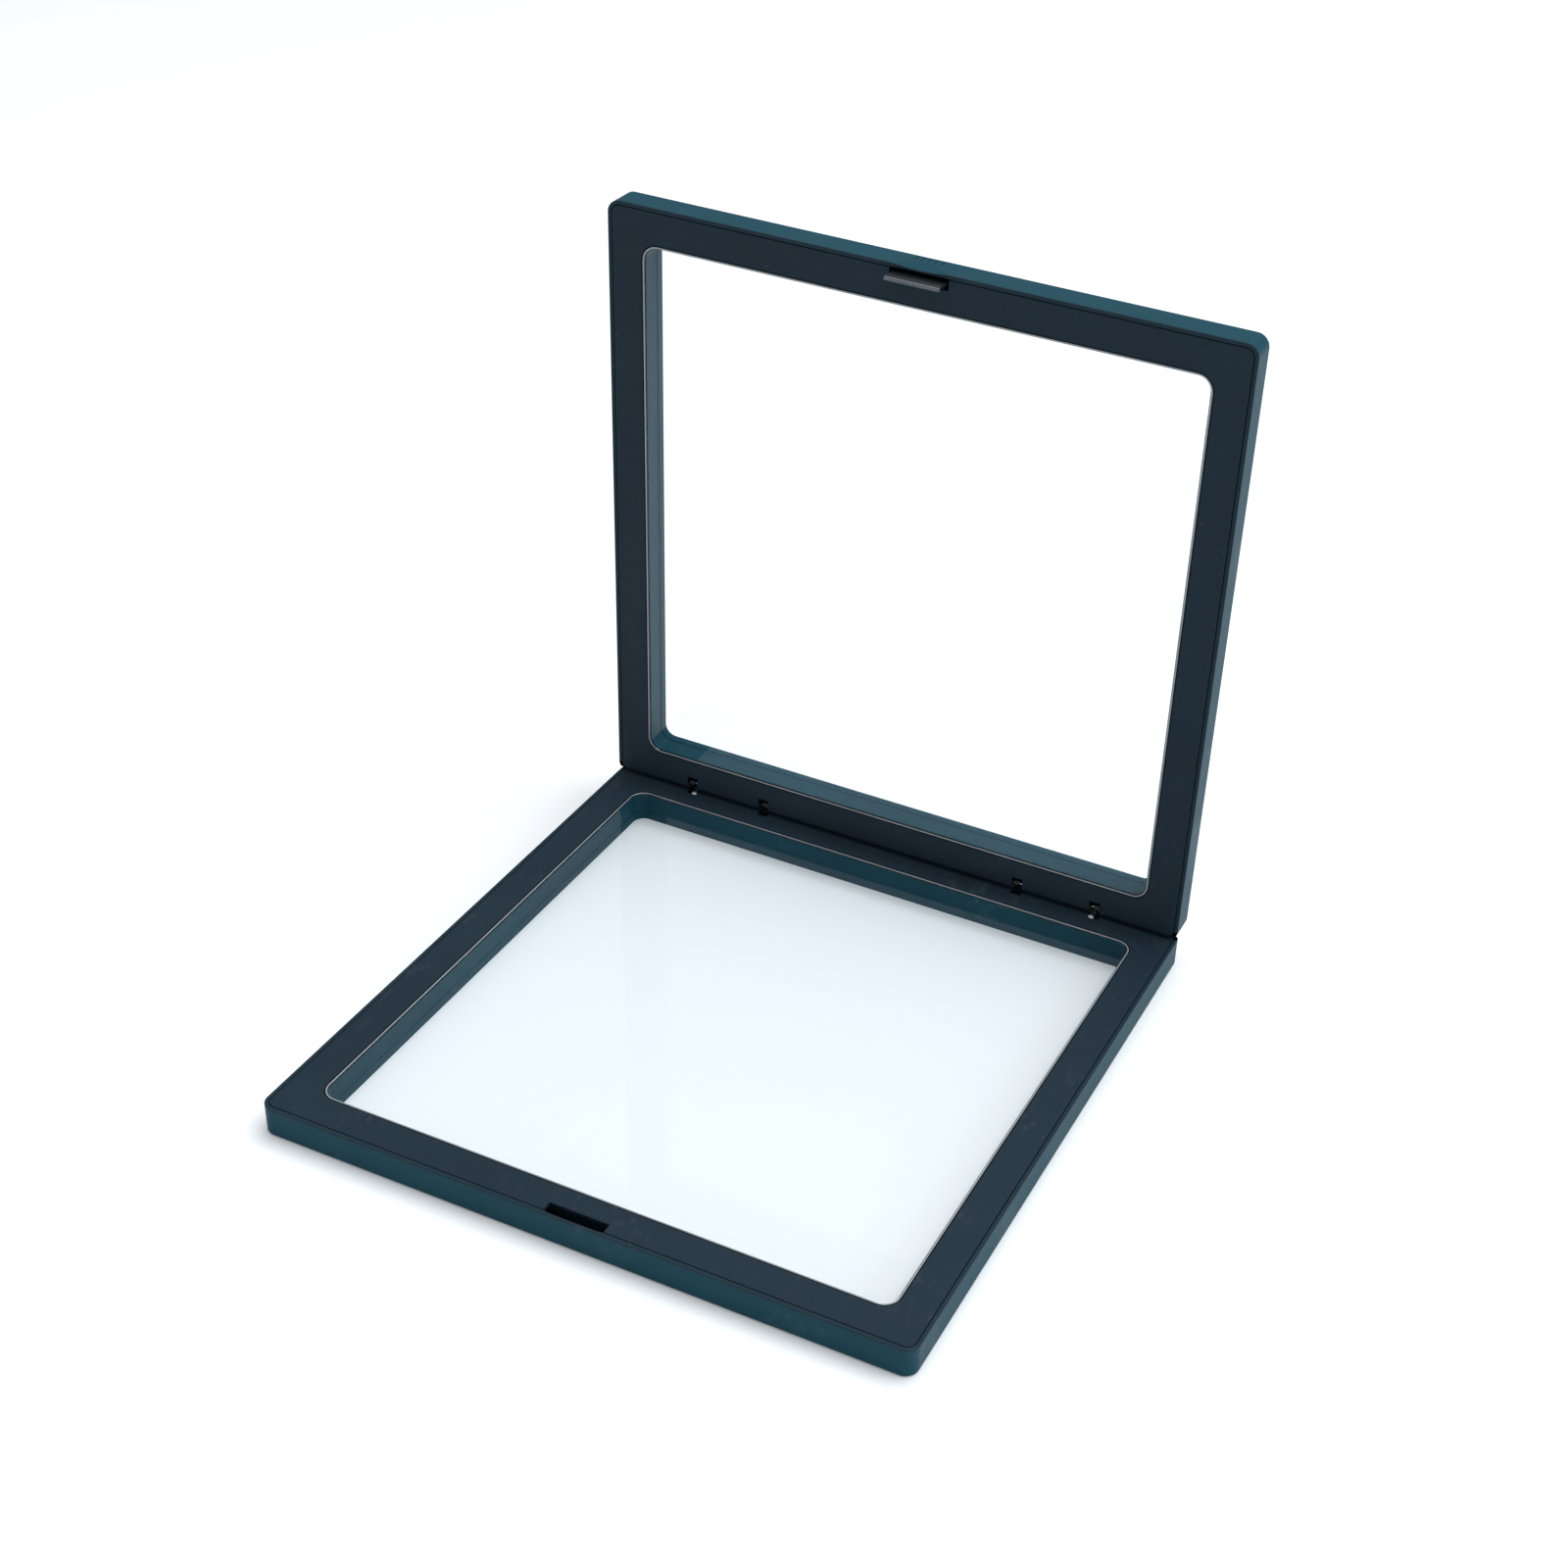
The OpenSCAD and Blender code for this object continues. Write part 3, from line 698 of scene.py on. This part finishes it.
def hook_plastic(name, tint, ramp_front_tint):
    """Dark plastic of the latch hook, paler towards the front of its ramp."""
    recipe = Recipe(name)
    fine = recipe.noise(2600.0, 4.0, 0.65)
    deep = recipe.maths("ADD", recipe.drawn("Z"), recipe.spread(fine, -0.0004, 0.0004))
    # The front of the ramp turns paler, with a patchy edge.
    worn = recipe.ramp(deep, *PALE_RAMP_FRONT)
    patchy = recipe.spread(recipe.noise(1500.0, 4.0, 0.7), 0.2, 1.2)
    worn = recipe.maths("MINIMUM", recipe.maths("MULTIPLY", worn, patchy), 1.0)
    recipe.join(recipe.blend(worn, tint, ramp_front_tint), recipe.shader.inputs["Base Color"])
    recipe.join(recipe.spread(fine, 0.34, 0.5), recipe.shader.inputs["Roughness"])
    recipe.join(recipe.bump(fine, 0.4, 0.00004), recipe.shader.inputs["Normal"])
    recipe.shader.inputs["Specular IOR Level"].default_value = 0.2
    return recipe.material


def smooth_plastic(name, tint):
    """Smooth dark plastic of the small moulded parts."""
    recipe = Recipe(name)
    fine = recipe.noise(5200.0, 3.0)
    shade = recipe.spread(recipe.noise(700.0, 3.0), 0.7, 1.3)
    recipe.join(recipe.shaded(tint, shade), recipe.shader.inputs["Base Color"])
    recipe.join(recipe.spread(fine, 0.16, 0.28), recipe.shader.inputs["Roughness"])
    recipe.join(recipe.bump(fine, 0.2, 0.00002), recipe.shader.inputs["Normal"])
    return recipe.material


def drawn_steel(name, tint):
    """Plain steel wire, drawn along its length."""
    recipe = Recipe(name)
    lines = recipe.noise(9000.0, 2.0, 0.5, (0.05, 1.0, 1.0))
    shade = recipe.spread(lines, 0.85, 1.1)
    recipe.join(recipe.shaded(tint, shade), recipe.shader.inputs["Base Color"])
    recipe.join(recipe.spread(lines, 0.14, 0.26), recipe.shader.inputs["Roughness"])
    recipe.join(recipe.bump(lines, 0.15, 0.00002), recipe.shader.inputs["Normal"])
    recipe.shader.inputs["Metallic"].default_value = 1.0
    return recipe.material


def plated_steel(name, tint):
    """Satin plating of the rivets."""
    recipe = Recipe(name)
    fine = recipe.noise(6000.0, 3.0)
    shade = recipe.spread(fine, 0.95, 1.15)
    recipe.join(recipe.shaded(tint, shade), recipe.shader.inputs["Base Color"])
    recipe.join(recipe.spread(fine, 0.38, 0.5), recipe.shader.inputs["Roughness"])
    recipe.join(recipe.bump(fine, 0.2, 0.00002), recipe.shader.inputs["Normal"])
    recipe.shader.inputs["Metallic"].default_value = 0.5
    return recipe.material


def painted_floor(name, tint):
    """Plain pale floor."""
    recipe = Recipe(name)
    shade = recipe.spread(recipe.noise(3.0, 2.0), 0.99, 1.01)
    recipe.join(recipe.shaded(tint, shade), recipe.shader.inputs["Base Color"])
    recipe.shader.inputs["Roughness"].default_value = 0.8
    recipe.shader.inputs["Specular IOR Level"].default_value = 0.1
    recipe.shader.inputs["Emission Color"].default_value = (*tint, 1.0)
    recipe.shader.inputs["Emission Strength"].default_value = 0.10
    return recipe.material


def finish_named(name):
    """The finish of that name, made when it is first asked for."""
    if name in bpy.data.materials:
        return bpy.data.materials[name]
    tints = bpy.context.scene.frame_finish
    if name == "shell_plastic_painted_light":
        # The shells' sides and walls get painted teal light; the inner face keeps the rim colour.
        return moulded_plastic(name, tints.shell, tints.rim, tints.dust,
                               grain=4200.0, roughness=0.46, dusty=0.04)
    if name == "panel_plastic":
        return moulded_plastic(name, tints.panel, tints.panel, tints.dust,
                               grain=5200.0, roughness=0.50, dusty=0.16)
    if name == "clear_film":
        return clear_film(name, tints.film, tints.dust)
    if name == "film_bead_painted_highlight":
        # The bead's crown gets a painted highlight.
        return glossy_bead(name, tints.clip, tints.bead)
    if name == "hook_plastic":
        return hook_plastic(name, tints.clip, tints.worn)
    if name == "clip_plastic":
        return smooth_plastic(name, tints.clip)
    if name == "drawn_steel":
        return drawn_steel(name, tints.steel)
    if name == "plated_steel":
        return plated_steel(name, tints.steel)
    return painted_floor(name, tints.floor)


# ---------------------------------------------------------------- pieces

def border_tool(case, top, back, wall_in):
    """A tool for the ring-shaped space between side wall and window wall."""
    steps = case.corner_steps
    outer = rounded_plate("border_tool", case.rim, case.latch_corner - case.rim,
                          case.hinge_corner - case.rim, top, back, steps)
    wall_r = case.window_corner - case.valley
    inner = rounded_plate("border_core", wall_in, wall_r, wall_r, top - OVER, back + OVER, steps)
    return cut(outer, inner)


def shell_blank(case):
    """The moulding that both halves share, flat, before its own cuts."""
    steps = case.corner_steps
    shell = rounded_plate("shell", 0, case.latch_corner, case.hinge_corner, 0, HALF_T, steps)
    pick(shell)
    bpy.ops.object.mode_set(mode="EDIT")
    select_where("EDGE", lambda e: all(v.co.z > HALF_T - NEAR for v in e.verts))
    bpy.ops.mesh.bevel(offset=case.outer_round, offset_type="OFFSET", segments=case.outer_steps,
                       affect="EDGES")
    bpy.ops.object.mode_set(mode="OBJECT")
    floor = HALF_T - case.plate
    wall_r = case.window_corner - case.valley
    window_in = FILM_IN + case.window_wall
    window_r = wall_r - case.window_wall
    inner_in = window_in + case.step
    inner_r = window_r - case.step
    hollow = border_tool(case, case.panel_t, floor, FILM_IN)
    for x, y in peg_places(case):
        cut(hollow, rod("post", case.socket, (x, y, case.panel_t - OVER), (x, y, floor + OVER)))
        add(hollow, rod("bore", case.peg + case.peg_gap, (x, y, case.panel_t - OVER / 2),
                        (x, y, case.panel_t + case.peg_length + OVER / 2)))
    cut(shell, border_tool(case, -OVER, case.panel_t, FILM_IN), hollow)
    cut(shell, rounded_plate("film_seat", FILM_IN, wall_r, wall_r, -OVER, FILM_BACK, steps))
    cut(shell, rounded_plate("window", window_in, window_r, window_r, -OVER, case.step_depth, steps))
    cut(shell, rounded_plate("inner_window", inner_in, inner_r, inner_r, -OVER, HALF_T + OVER, steps))
    return shell


def hinge_edge_tool(case):
    """A tool that rounds the inner edge on the hinge side, about the pivot."""
    tool = block("hinge_edge", (-CASE_W, -OVER, -OVER), (CASE_W, case.rim, PIVOT_DEPTH))
    core = rod("hinge_core", PIVOT_IN, (-CASE_W - OVER, PIVOT_IN, PIVOT_DEPTH),
               (CASE_W + OVER, PIVOT_IN, PIVOT_DEPTH), steps=96)
    return cut(tool, core)


def cut_notches(target, hinge, depth):
    """Cuts the four hinge notches."""
    for clip, arm in both_ways():
        x = notch_x(hinge, clip, arm)
        cut(target, block("notch", (x - hinge.notch_w / 2, -OVER, -OVER),
                          (x + hinge.notch_w / 2, hinge.notch_l, depth)))


class FRAME_OT_shells(bpy.types.Operator):
    """Models the moulded shell of each half"""
    bl_idname = "frame.shells"
    bl_label = "Shells"

    def execute(self, context):
        case = context.scene.frame_case
        hinge = context.scene.frame_hinge
        latch = context.scene.frame_latch
        blank = shell_blank(case)
        cut(blank, hinge_edge_tool(case))
        finish = finish_named("shell_plastic_painted_light")
        lower = copy_of(blank, "case_lower")
        cut_notches(lower, hinge, clip_top(case, hinge))
        cut(lower, self.keeper_arch(case, latch))
        upper = copy_of(blank, "case_upper")
        cut_notches(upper, hinge, hinge.notch_deep)
        cut(upper, self.scallop(latch))
        for i in range(latch.grips):
            x = (i - (latch.grips - 1) / 2) * latch.grip_pitch
            cut(upper, block("grip", (x - latch.grip_w / 2, CASE_D - latch.grip_cut,
                                      latch.scallop_l + latch.grip_start),
                             (x + latch.grip_w / 2, CASE_D + OVER, latch.scallop_l + latch.grip_end)))
        bpy.data.objects.remove(blank)
        for half, shell, crisp in (("lower", lower, None), ("upper", upper, self.scallop_edge(latch))):
            soften(shell, case.arris, crisp=crisp)
            set_in(shell, half)
            hand_over(shell, half + "_shell", BODIES[half], finish)
        return {"FINISHED"}

    def keeper_arch(self, case, latch):
        """The rim's gentle outward arch behind the lower slot."""
        half_w = latch.slot_w / 2
        radius = (half_w ** 2 + (case.rim / 2) ** 2) / case.rim
        centre = CASE_D - case.rim / 2 - radius
        arch = rod("arch", radius, (0, centre, -OVER), (0, centre, latch.arch_depth), steps=720)
        trim = block("arch_trim", (-half_w, CASE_D - 2 * case.rim, -OVER / 2),
                     (half_w, CASE_D, latch.arch_depth - 10 * NEAR))
        return combine(trim, [arch], "INTERSECT")

    def scallop(self, latch):
        """The thumb scallop's tool: a wide cylinder that leans out of the wall."""
        half_w = latch.scallop_w / 2
        radius = (half_w ** 2 + latch.scallop_cut ** 2) / (2 * latch.scallop_cut)
        lean = math.atan(latch.scallop_cut / latch.scallop_l)
        along = Vector((0, math.sin(lean), math.cos(lean)))
        out = Vector((0, math.cos(lean), -math.sin(lean)))
        base = Vector((0, CASE_D - latch.scallop_cut, 0)) + radius * out
        return rod("scallop", radius, base - 2 * OVER * along,
                   base + (latch.scallop_l + 2 * OVER) * along, steps=900)

    def scallop_edge(self, latch):
        """A test for the shallow crease round the scallop."""
        margin = 0.0003
        half_w = latch.scallop_w / 2 + margin
        wall = CASE_D - 0.001
        end = latch.scallop_l + 0.0004
        faint, steep = math.radians(3), math.radians(30)

        def test(edge):
            near = all(abs(v.co.x) < half_w and v.co.y > wall and margin < v.co.z < end for v in edge.verts)
            return near and faint < edge.calc_face_angle(0) < steep
        return test


class FRAME_OT_panels(bpy.types.Operator):
    """Models the inner panel of each half"""
    bl_idname = "frame.panels"
    bl_label = "Panels"

    def execute(self, context):
        case = context.scene.frame_case
        hinge = context.scene.frame_hinge
        latch = context.scene.frame_latch
        steps = case.corner_steps
        panel = rounded_plate("panel_lower", PANEL_IN, case.latch_corner - PANEL_IN,
                              case.hinge_corner - PANEL_IN, 0, case.panel_t, steps)
        window_in = FILM_IN - case.valley
        cut(panel, rounded_plate("panel_window", window_in, case.window_corner, case.window_corner,
                                 -OVER, case.panel_t + OVER, steps))
        cut_notches(panel, hinge, case.panel_t + OVER)
        cut(panel, block("slot", (-latch.slot_w / 2, CASE_D - latch.slot_in, -OVER),
                         (latch.slot_w / 2, CASE_D, case.panel_t + OVER)))
        for x, y in peg_places(case):
            add(panel, rod("peg", case.peg, (x, y, case.panel_t / 2),
                           (x, y, case.panel_t + case.peg_length), steps=24))
        soften(panel, case.panel_arris)
        finish = finish_named("panel_plastic")
        for half, piece in (("upper", copy_of(panel, "panel_upper")), ("lower", panel)):
            set_in(piece, half)
            hand_over(piece, half + "_panel", BODIES[half], finish)
        return {"FINISHED"}


class FRAME_OT_films(bpy.types.Operator):
    """Models the clear film of each half"""
    bl_idname = "frame.films"
    bl_label = "Films"

    def execute(self, context):
        case = context.scene.frame_case
        wall_r = case.window_corner - case.valley
        film = rounded_plate("film_lower_sheet", FILM_IN, wall_r, wall_r, FILM_TOP, FILM_BACK,
                             case.corner_steps)
        finish = finish_named("clear_film")
        for half, piece in (("upper", copy_of(film, "film_upper_sheet")), ("lower", film)):
            set_in(piece, half)
            hand_over(piece, half + "_film", BODIES[half], finish)
        return {"FINISHED"}


class FRAME_OT_beads(bpy.types.Operator):
    """Models the bead round each film"""
    bl_idname = "frame.beads"
    bl_label = "Film beads"

    def execute(self, context):
        case = context.scene.frame_case
        sizes = context.scene.frame_film
        steps = case.corner_steps
        wall_r = case.window_corner - case.valley
        bead = rounded_plate("bead_lower", FILM_IN, wall_r, wall_r, sizes.bead_drop, FILM_TOP, steps)
        cut(bead, rounded_plate("bead_core", FILM_IN + sizes.bead, wall_r - sizes.bead,
                                wall_r - sizes.bead, -OVER, FILM_TOP + OVER, steps))
        pick(bead)
        bpy.ops.object.mode_set(mode="EDIT")
        select_where("EDGE", lambda e: all(v.co.z < sizes.bead_drop + NEAR for v in e.verts)
                     and len({round(f.normal.z, 2) for f in e.link_faces}) > 1)
        bpy.ops.mesh.bevel(offset=sizes.bead * sizes.crown, offset_type="OFFSET",
                           segments=sizes.crown_steps, affect="EDGES")
        outward()
        bpy.ops.object.mode_set(mode="OBJECT")
        bpy.ops.object.shade_smooth_by_angle(angle=math.radians(40))
        finish = finish_named("film_bead_painted_highlight")
        for half, piece in (("upper", copy_of(bead, "bead_upper")), ("lower", bead)):
            set_in(piece, half)
            hand_over(piece, half + "_film_ring", BODIES[half], finish)
        return {"FINISHED"}


class FRAME_OT_hinge_clips(bpy.types.Operator):
    """Models the two hinge clips"""
    bl_idname = "frame.hinge_clips"
    bl_label = "Hinge clips"

    def execute(self, context):
        case = context.scene.frame_case
        hinge = context.scene.frame_hinge
        finish = finish_named("clip_plastic")
        arm_x = hinge.notch_pitch / 2 + hinge.arm_shift
        front = case.rim + hinge.rim_gap
        top = clip_top(case, hinge)
        for clip, side in ((-1, "left"), (1, "right")):
            middle = clip * hinge.clip_x
            reach = arm_x + hinge.arm_w / 2
            piece = block("clip_" + side, (middle - reach, front, top),
                          (middle + reach, front + hinge.plate_l, top + hinge.plate_t))
            for arm in (-1, 1):
                x = middle + arm * arm_x
                add(piece,
                    block("arm", (x - hinge.arm_w / 2, front, -PIVOT_UP),
                          (x + hinge.arm_w / 2, front + hinge.arm_t, top + hinge.plate_t / 2)),
                    rod("knuckle", hinge.knuckle, (x - hinge.arm_w / 2, PIVOT_IN, -PIVOT_UP),
                        (x + hinge.arm_w / 2, PIVOT_IN, -PIVOT_UP)))
                sides = sorted((x, x - arm * (hinge.arm_w / 2 + hinge.shoulder_w)))
                add(piece, block("shoulder", (sides[0], front, -hinge.shoulder_up),
                                 (sides[1], front + hinge.arm_t, top + hinge.plate_t / 3)))
            soften(piece, hinge.clip_arris)
            set_in(piece, "lower")
            hand_over(piece, "hinge_clip_" + side, "lower_half", finish)
        return {"FINISHED"}


class FRAME_OT_hinge_pins(bpy.types.Operator):
    """Models the four hinge pins"""
    bl_idname = "frame.hinge_pins"
    bl_label = "Hinge pins"

    def execute(self, context):
        hinge = context.scene.frame_hinge
        finish = finish_named("drawn_steel")
        for number, (clip, arm) in enumerate(both_ways(), 1):
            start = notch_x(hinge, clip, arm) + arm * (hinge.arm_shift - hinge.arm_w / 2 - hinge.pin_stub)
            pin = rod(f"pin_{number}", hinge.pin, (start, PIVOT_IN, -PIVOT_UP),
                      (start + arm * hinge.pin_l, PIVOT_IN, -PIVOT_UP), steps=32)
            soften(pin, hinge.pin_arris)
            set_in(pin, "lower")
            hand_over(pin, f"hinge_pin_{number}", "lower_half", finish)
        return {"FINISHED"}


class FRAME_OT_rivets(bpy.types.Operator):
    """Models the rivets that fix the clips"""
    bl_idname = "frame.rivets"
    bl_label = "Clip rivets"

    def execute(self, context):
        case = context.scene.frame_case
        hinge = context.scene.frame_hinge
        finish = finish_named("plated_steel")
        top = clip_top(case, hinge)
        for clip, side in ((-1, "left"), (1, "right")):
            x = notch_x(hinge, clip, clip) - clip * hinge.rivet_shift
            rivet = rod("rivet_" + side, hinge.rivet_head, (x, hinge.rivet_v, top),
                        (x, hinge.rivet_v, top - hinge.rivet_rise), steps=32)
            pick(rivet)
            bpy.ops.object.mode_set(mode="EDIT")
            crown = top - hinge.rivet_rise
            select_where("EDGE", lambda e: all(v.co.z < crown + NEAR for v in e.verts))
            bpy.ops.mesh.bevel(offset=hinge.rivet_crown, offset_type="OFFSET", segments=6,
                               affect="EDGES")
            bpy.ops.object.mode_set(mode="OBJECT")
            cut(rivet, rod("dimple", hinge.dimple, (x, hinge.rivet_v, crown - OVER),
                           (x, hinge.rivet_v, crown + hinge.dimple_t), steps=24))
            add(rivet, rod("shank", hinge.rivet, (x, hinge.rivet_v, top - hinge.rivet_rise / 2),
                           (x, hinge.rivet_v, top + hinge.rivet_l), steps=32))
            soften(rivet, hinge.rivet_arris)
            set_in(rivet, "lower")
            hand_over(rivet, "clip_rivet_" + side, "lower_half", finish)
        return {"FINISHED"}


class FRAME_OT_latch(bpy.types.Operator):
    """Models the latch hook and its keeper"""
    bl_idname = "frame.latch"
    bl_label = "Latch"

    def execute(self, context):
        case = context.scene.frame_case
        latch = context.scene.frame_latch
        half_w = latch.hook_w / 2
        back = HALF_T - case.plate - latch.foot_gap
        foot_front = CASE_D - latch.foot_out
        stem_front = CASE_D - latch.stem_out
        hook = block("hook", (-half_w, foot_front - latch.foot_l, back - latch.foot_t),
                     (half_w, foot_front, back))
        add(hook, block("stem", (-half_w, stem_front - latch.stem_t, -latch.hook_proud),
                        (half_w, stem_front, back - BITE)))
        barb_back = -latch.hook_proud + latch.barb_l
        barb = block("barb", (-half_w, stem_front - BITE, -latch.hook_proud),
                     (half_w, CASE_D - latch.barb_out, barb_back + latch.barb_heel))
        pick(barb)
        bpy.ops.object.mode_set(mode="EDIT")
        select_where("VERT", lambda v: v.co.z < barb_back - BITE and v.co.y > stem_front)
        bpy.ops.transform.translate(value=(0, latch.barb_out - latch.stem_out - latch.barb_tuck, 0))
        bpy.ops.object.mode_set(mode="OBJECT")
        add(hook, barb)
        soften(hook, latch.hook_arris)
        set_in(hook, "upper")
        hand_over(hook, "latch_hook", "latch", finish_named("hook_plastic"))
        self.keeper(case, latch)
        return {"FINISHED"}

    def keeper(self, case, latch):
        """The strip with a lip inside the lower half's rim."""
        half_w = latch.keeper_w / 2
        top = latch.arch_depth
        wall = CASE_D - case.rim
        keeper = block("keeper", (-half_w, wall - latch.lip_t, top), (half_w, wall, top + latch.lip_h))
        add(keeper, block("keeper_strip", (-half_w, wall - latch.strip_t, top + latch.strip_start),
                          (half_w, wall, top + latch.strip_end)))
        soften(keeper, latch.keeper_arris)
        set_in(keeper, "lower")
        hand_over(keeper, "latch_keeper", "lower_half", finish_named("clip_plastic"))


class FRAME_OT_stage(bpy.types.Operator):
    """Sets the floor, the lights and the camera"""
    bl_idname = "frame.stage"
    bl_label = "Stage"

    def execute(self, context):
        stage = context.scene.frame_stage
        self.floor(stage)
        self.lights(context.scene, stage)
        self.camera(context.scene, stage)
        return {"FINISHED"}

    def floor(self, stage):
        """A pale floor just under the frame."""
        deselect()
        bpy.ops.mesh.primitive_plane_add(size=stage.floor_size, location=(0, 0, LOWER_BOX[0][2]))
        floor = take("floor")
        settle()
        floor.data.materials.append(finish_named("pale_floor"))

    def lights(self, scene, stage):
        """Even room light, a softbox overhead and one on the right."""
        world = bpy.data.worlds.new("room")
        world.use_nodes = True
        backdrop = world.node_tree.nodes["Background"]
        backdrop.inputs["Color"].default_value = (*stage.sky_tint, 1.0)
        backdrop.inputs["Strength"].default_value = stage.sky
        scene.world = world
        self.softbox("overhead_softbox", stage.overhead_place, stage.aim, stage.overhead_size,
                     stage.overhead, stage.overhead_tint)
        self.softbox("right_softbox", stage.side_place, stage.aim, stage.side_size, stage.side,
                     stage.side_tint)

    def softbox(self, name, place, aim, size, power, tint):
        """One square area light that faces its aim."""
        light = bpy.data.lights.new(name, "AREA")
        light.shape = "SQUARE"
        light.size = size
        light.energy = power
        light.color = tint
        lamp = bpy.data.objects.new(name, light)
        lamp.location = place
        lamp.rotation_euler = (Vector(aim) - Vector(place)).to_track_quat("-Z", "Y").to_euler()
        bpy.context.collection.objects.link(lamp)

    def camera(self, scene, stage):
        """The camera, in front, above and to the right."""
        data = bpy.data.cameras.new("camera")
        data.lens = stage.lens
        data.shift_x, data.shift_y = stage.shift
        data.clip_start = stage.near
        data.clip_end = stage.far
        camera = bpy.data.objects.new("camera", data)
        bpy.context.collection.objects.link(camera)
        camera.location = stage.eye
        level = Euler((math.pi / 2 - stage.pitch, 0, stage.heading)).to_matrix()
        camera.rotation_euler = (level @ Matrix.Rotation(stage.roll, 3, "Z")).to_euler()
        scene.camera = camera
        scene.view_settings.view_transform = "Standard"


OPERATORS = (
    FRAME_OT_stage,
    FRAME_OT_shells,
    FRAME_OT_panels,
    FRAME_OT_films,
    FRAME_OT_beads,
    FRAME_OT_hinge_clips,
    FRAME_OT_hinge_pins,
    FRAME_OT_rivets,
    FRAME_OT_latch,
)


class FRAME_PT_sidebar(bpy.types.Panel):
    """Sizes, colours and pieces of the frame"""
    bl_label = "Floating frame"
    bl_idname = "FRAME_PT_sidebar"
    bl_space_type = "VIEW_3D"
    bl_region_type = "UI"
    bl_category = "Floating Frame"

    def draw(self, context):
        for group in GROUPS:
            settings = getattr(context.scene, group)
            box = self.layout.box()
            for name in settings.bl_rna.properties.keys():
                if name not in ("rna_type", "name"):
                    box.prop(settings, name)
        for operator in OPERATORS:
            self.layout.operator(operator.bl_idname)


def register():
    """Registers the settings, the operators and the sidebar."""
    for name, group in GROUPS.items():
        bpy.utils.register_class(group)
        setattr(bpy.types.Scene, name, PointerProperty(type=group))
    for cls in (*OPERATORS, FRAME_PT_sidebar):
        bpy.utils.register_class(cls)


def unregister():
    """Takes out what register put in."""
    for cls in (FRAME_PT_sidebar, *reversed(OPERATORS)):
        bpy.utils.unregister_class(cls)
    for name, group in GROUPS.items():
        delattr(bpy.types.Scene, name)
        bpy.utils.unregister_class(group)


def main():
    """Builds the whole frame and its stage."""
    register()
    bpy.ops.frame.stage()
    bpy.ops.frame.shells()
    bpy.ops.frame.panels()
    bpy.ops.frame.films()
    bpy.ops.frame.beads()
    bpy.ops.frame.hinge_clips()
    bpy.ops.frame.hinge_pins()
    bpy.ops.frame.rivets()
    bpy.ops.frame.latch()


if __name__ == "__main__":
    main()
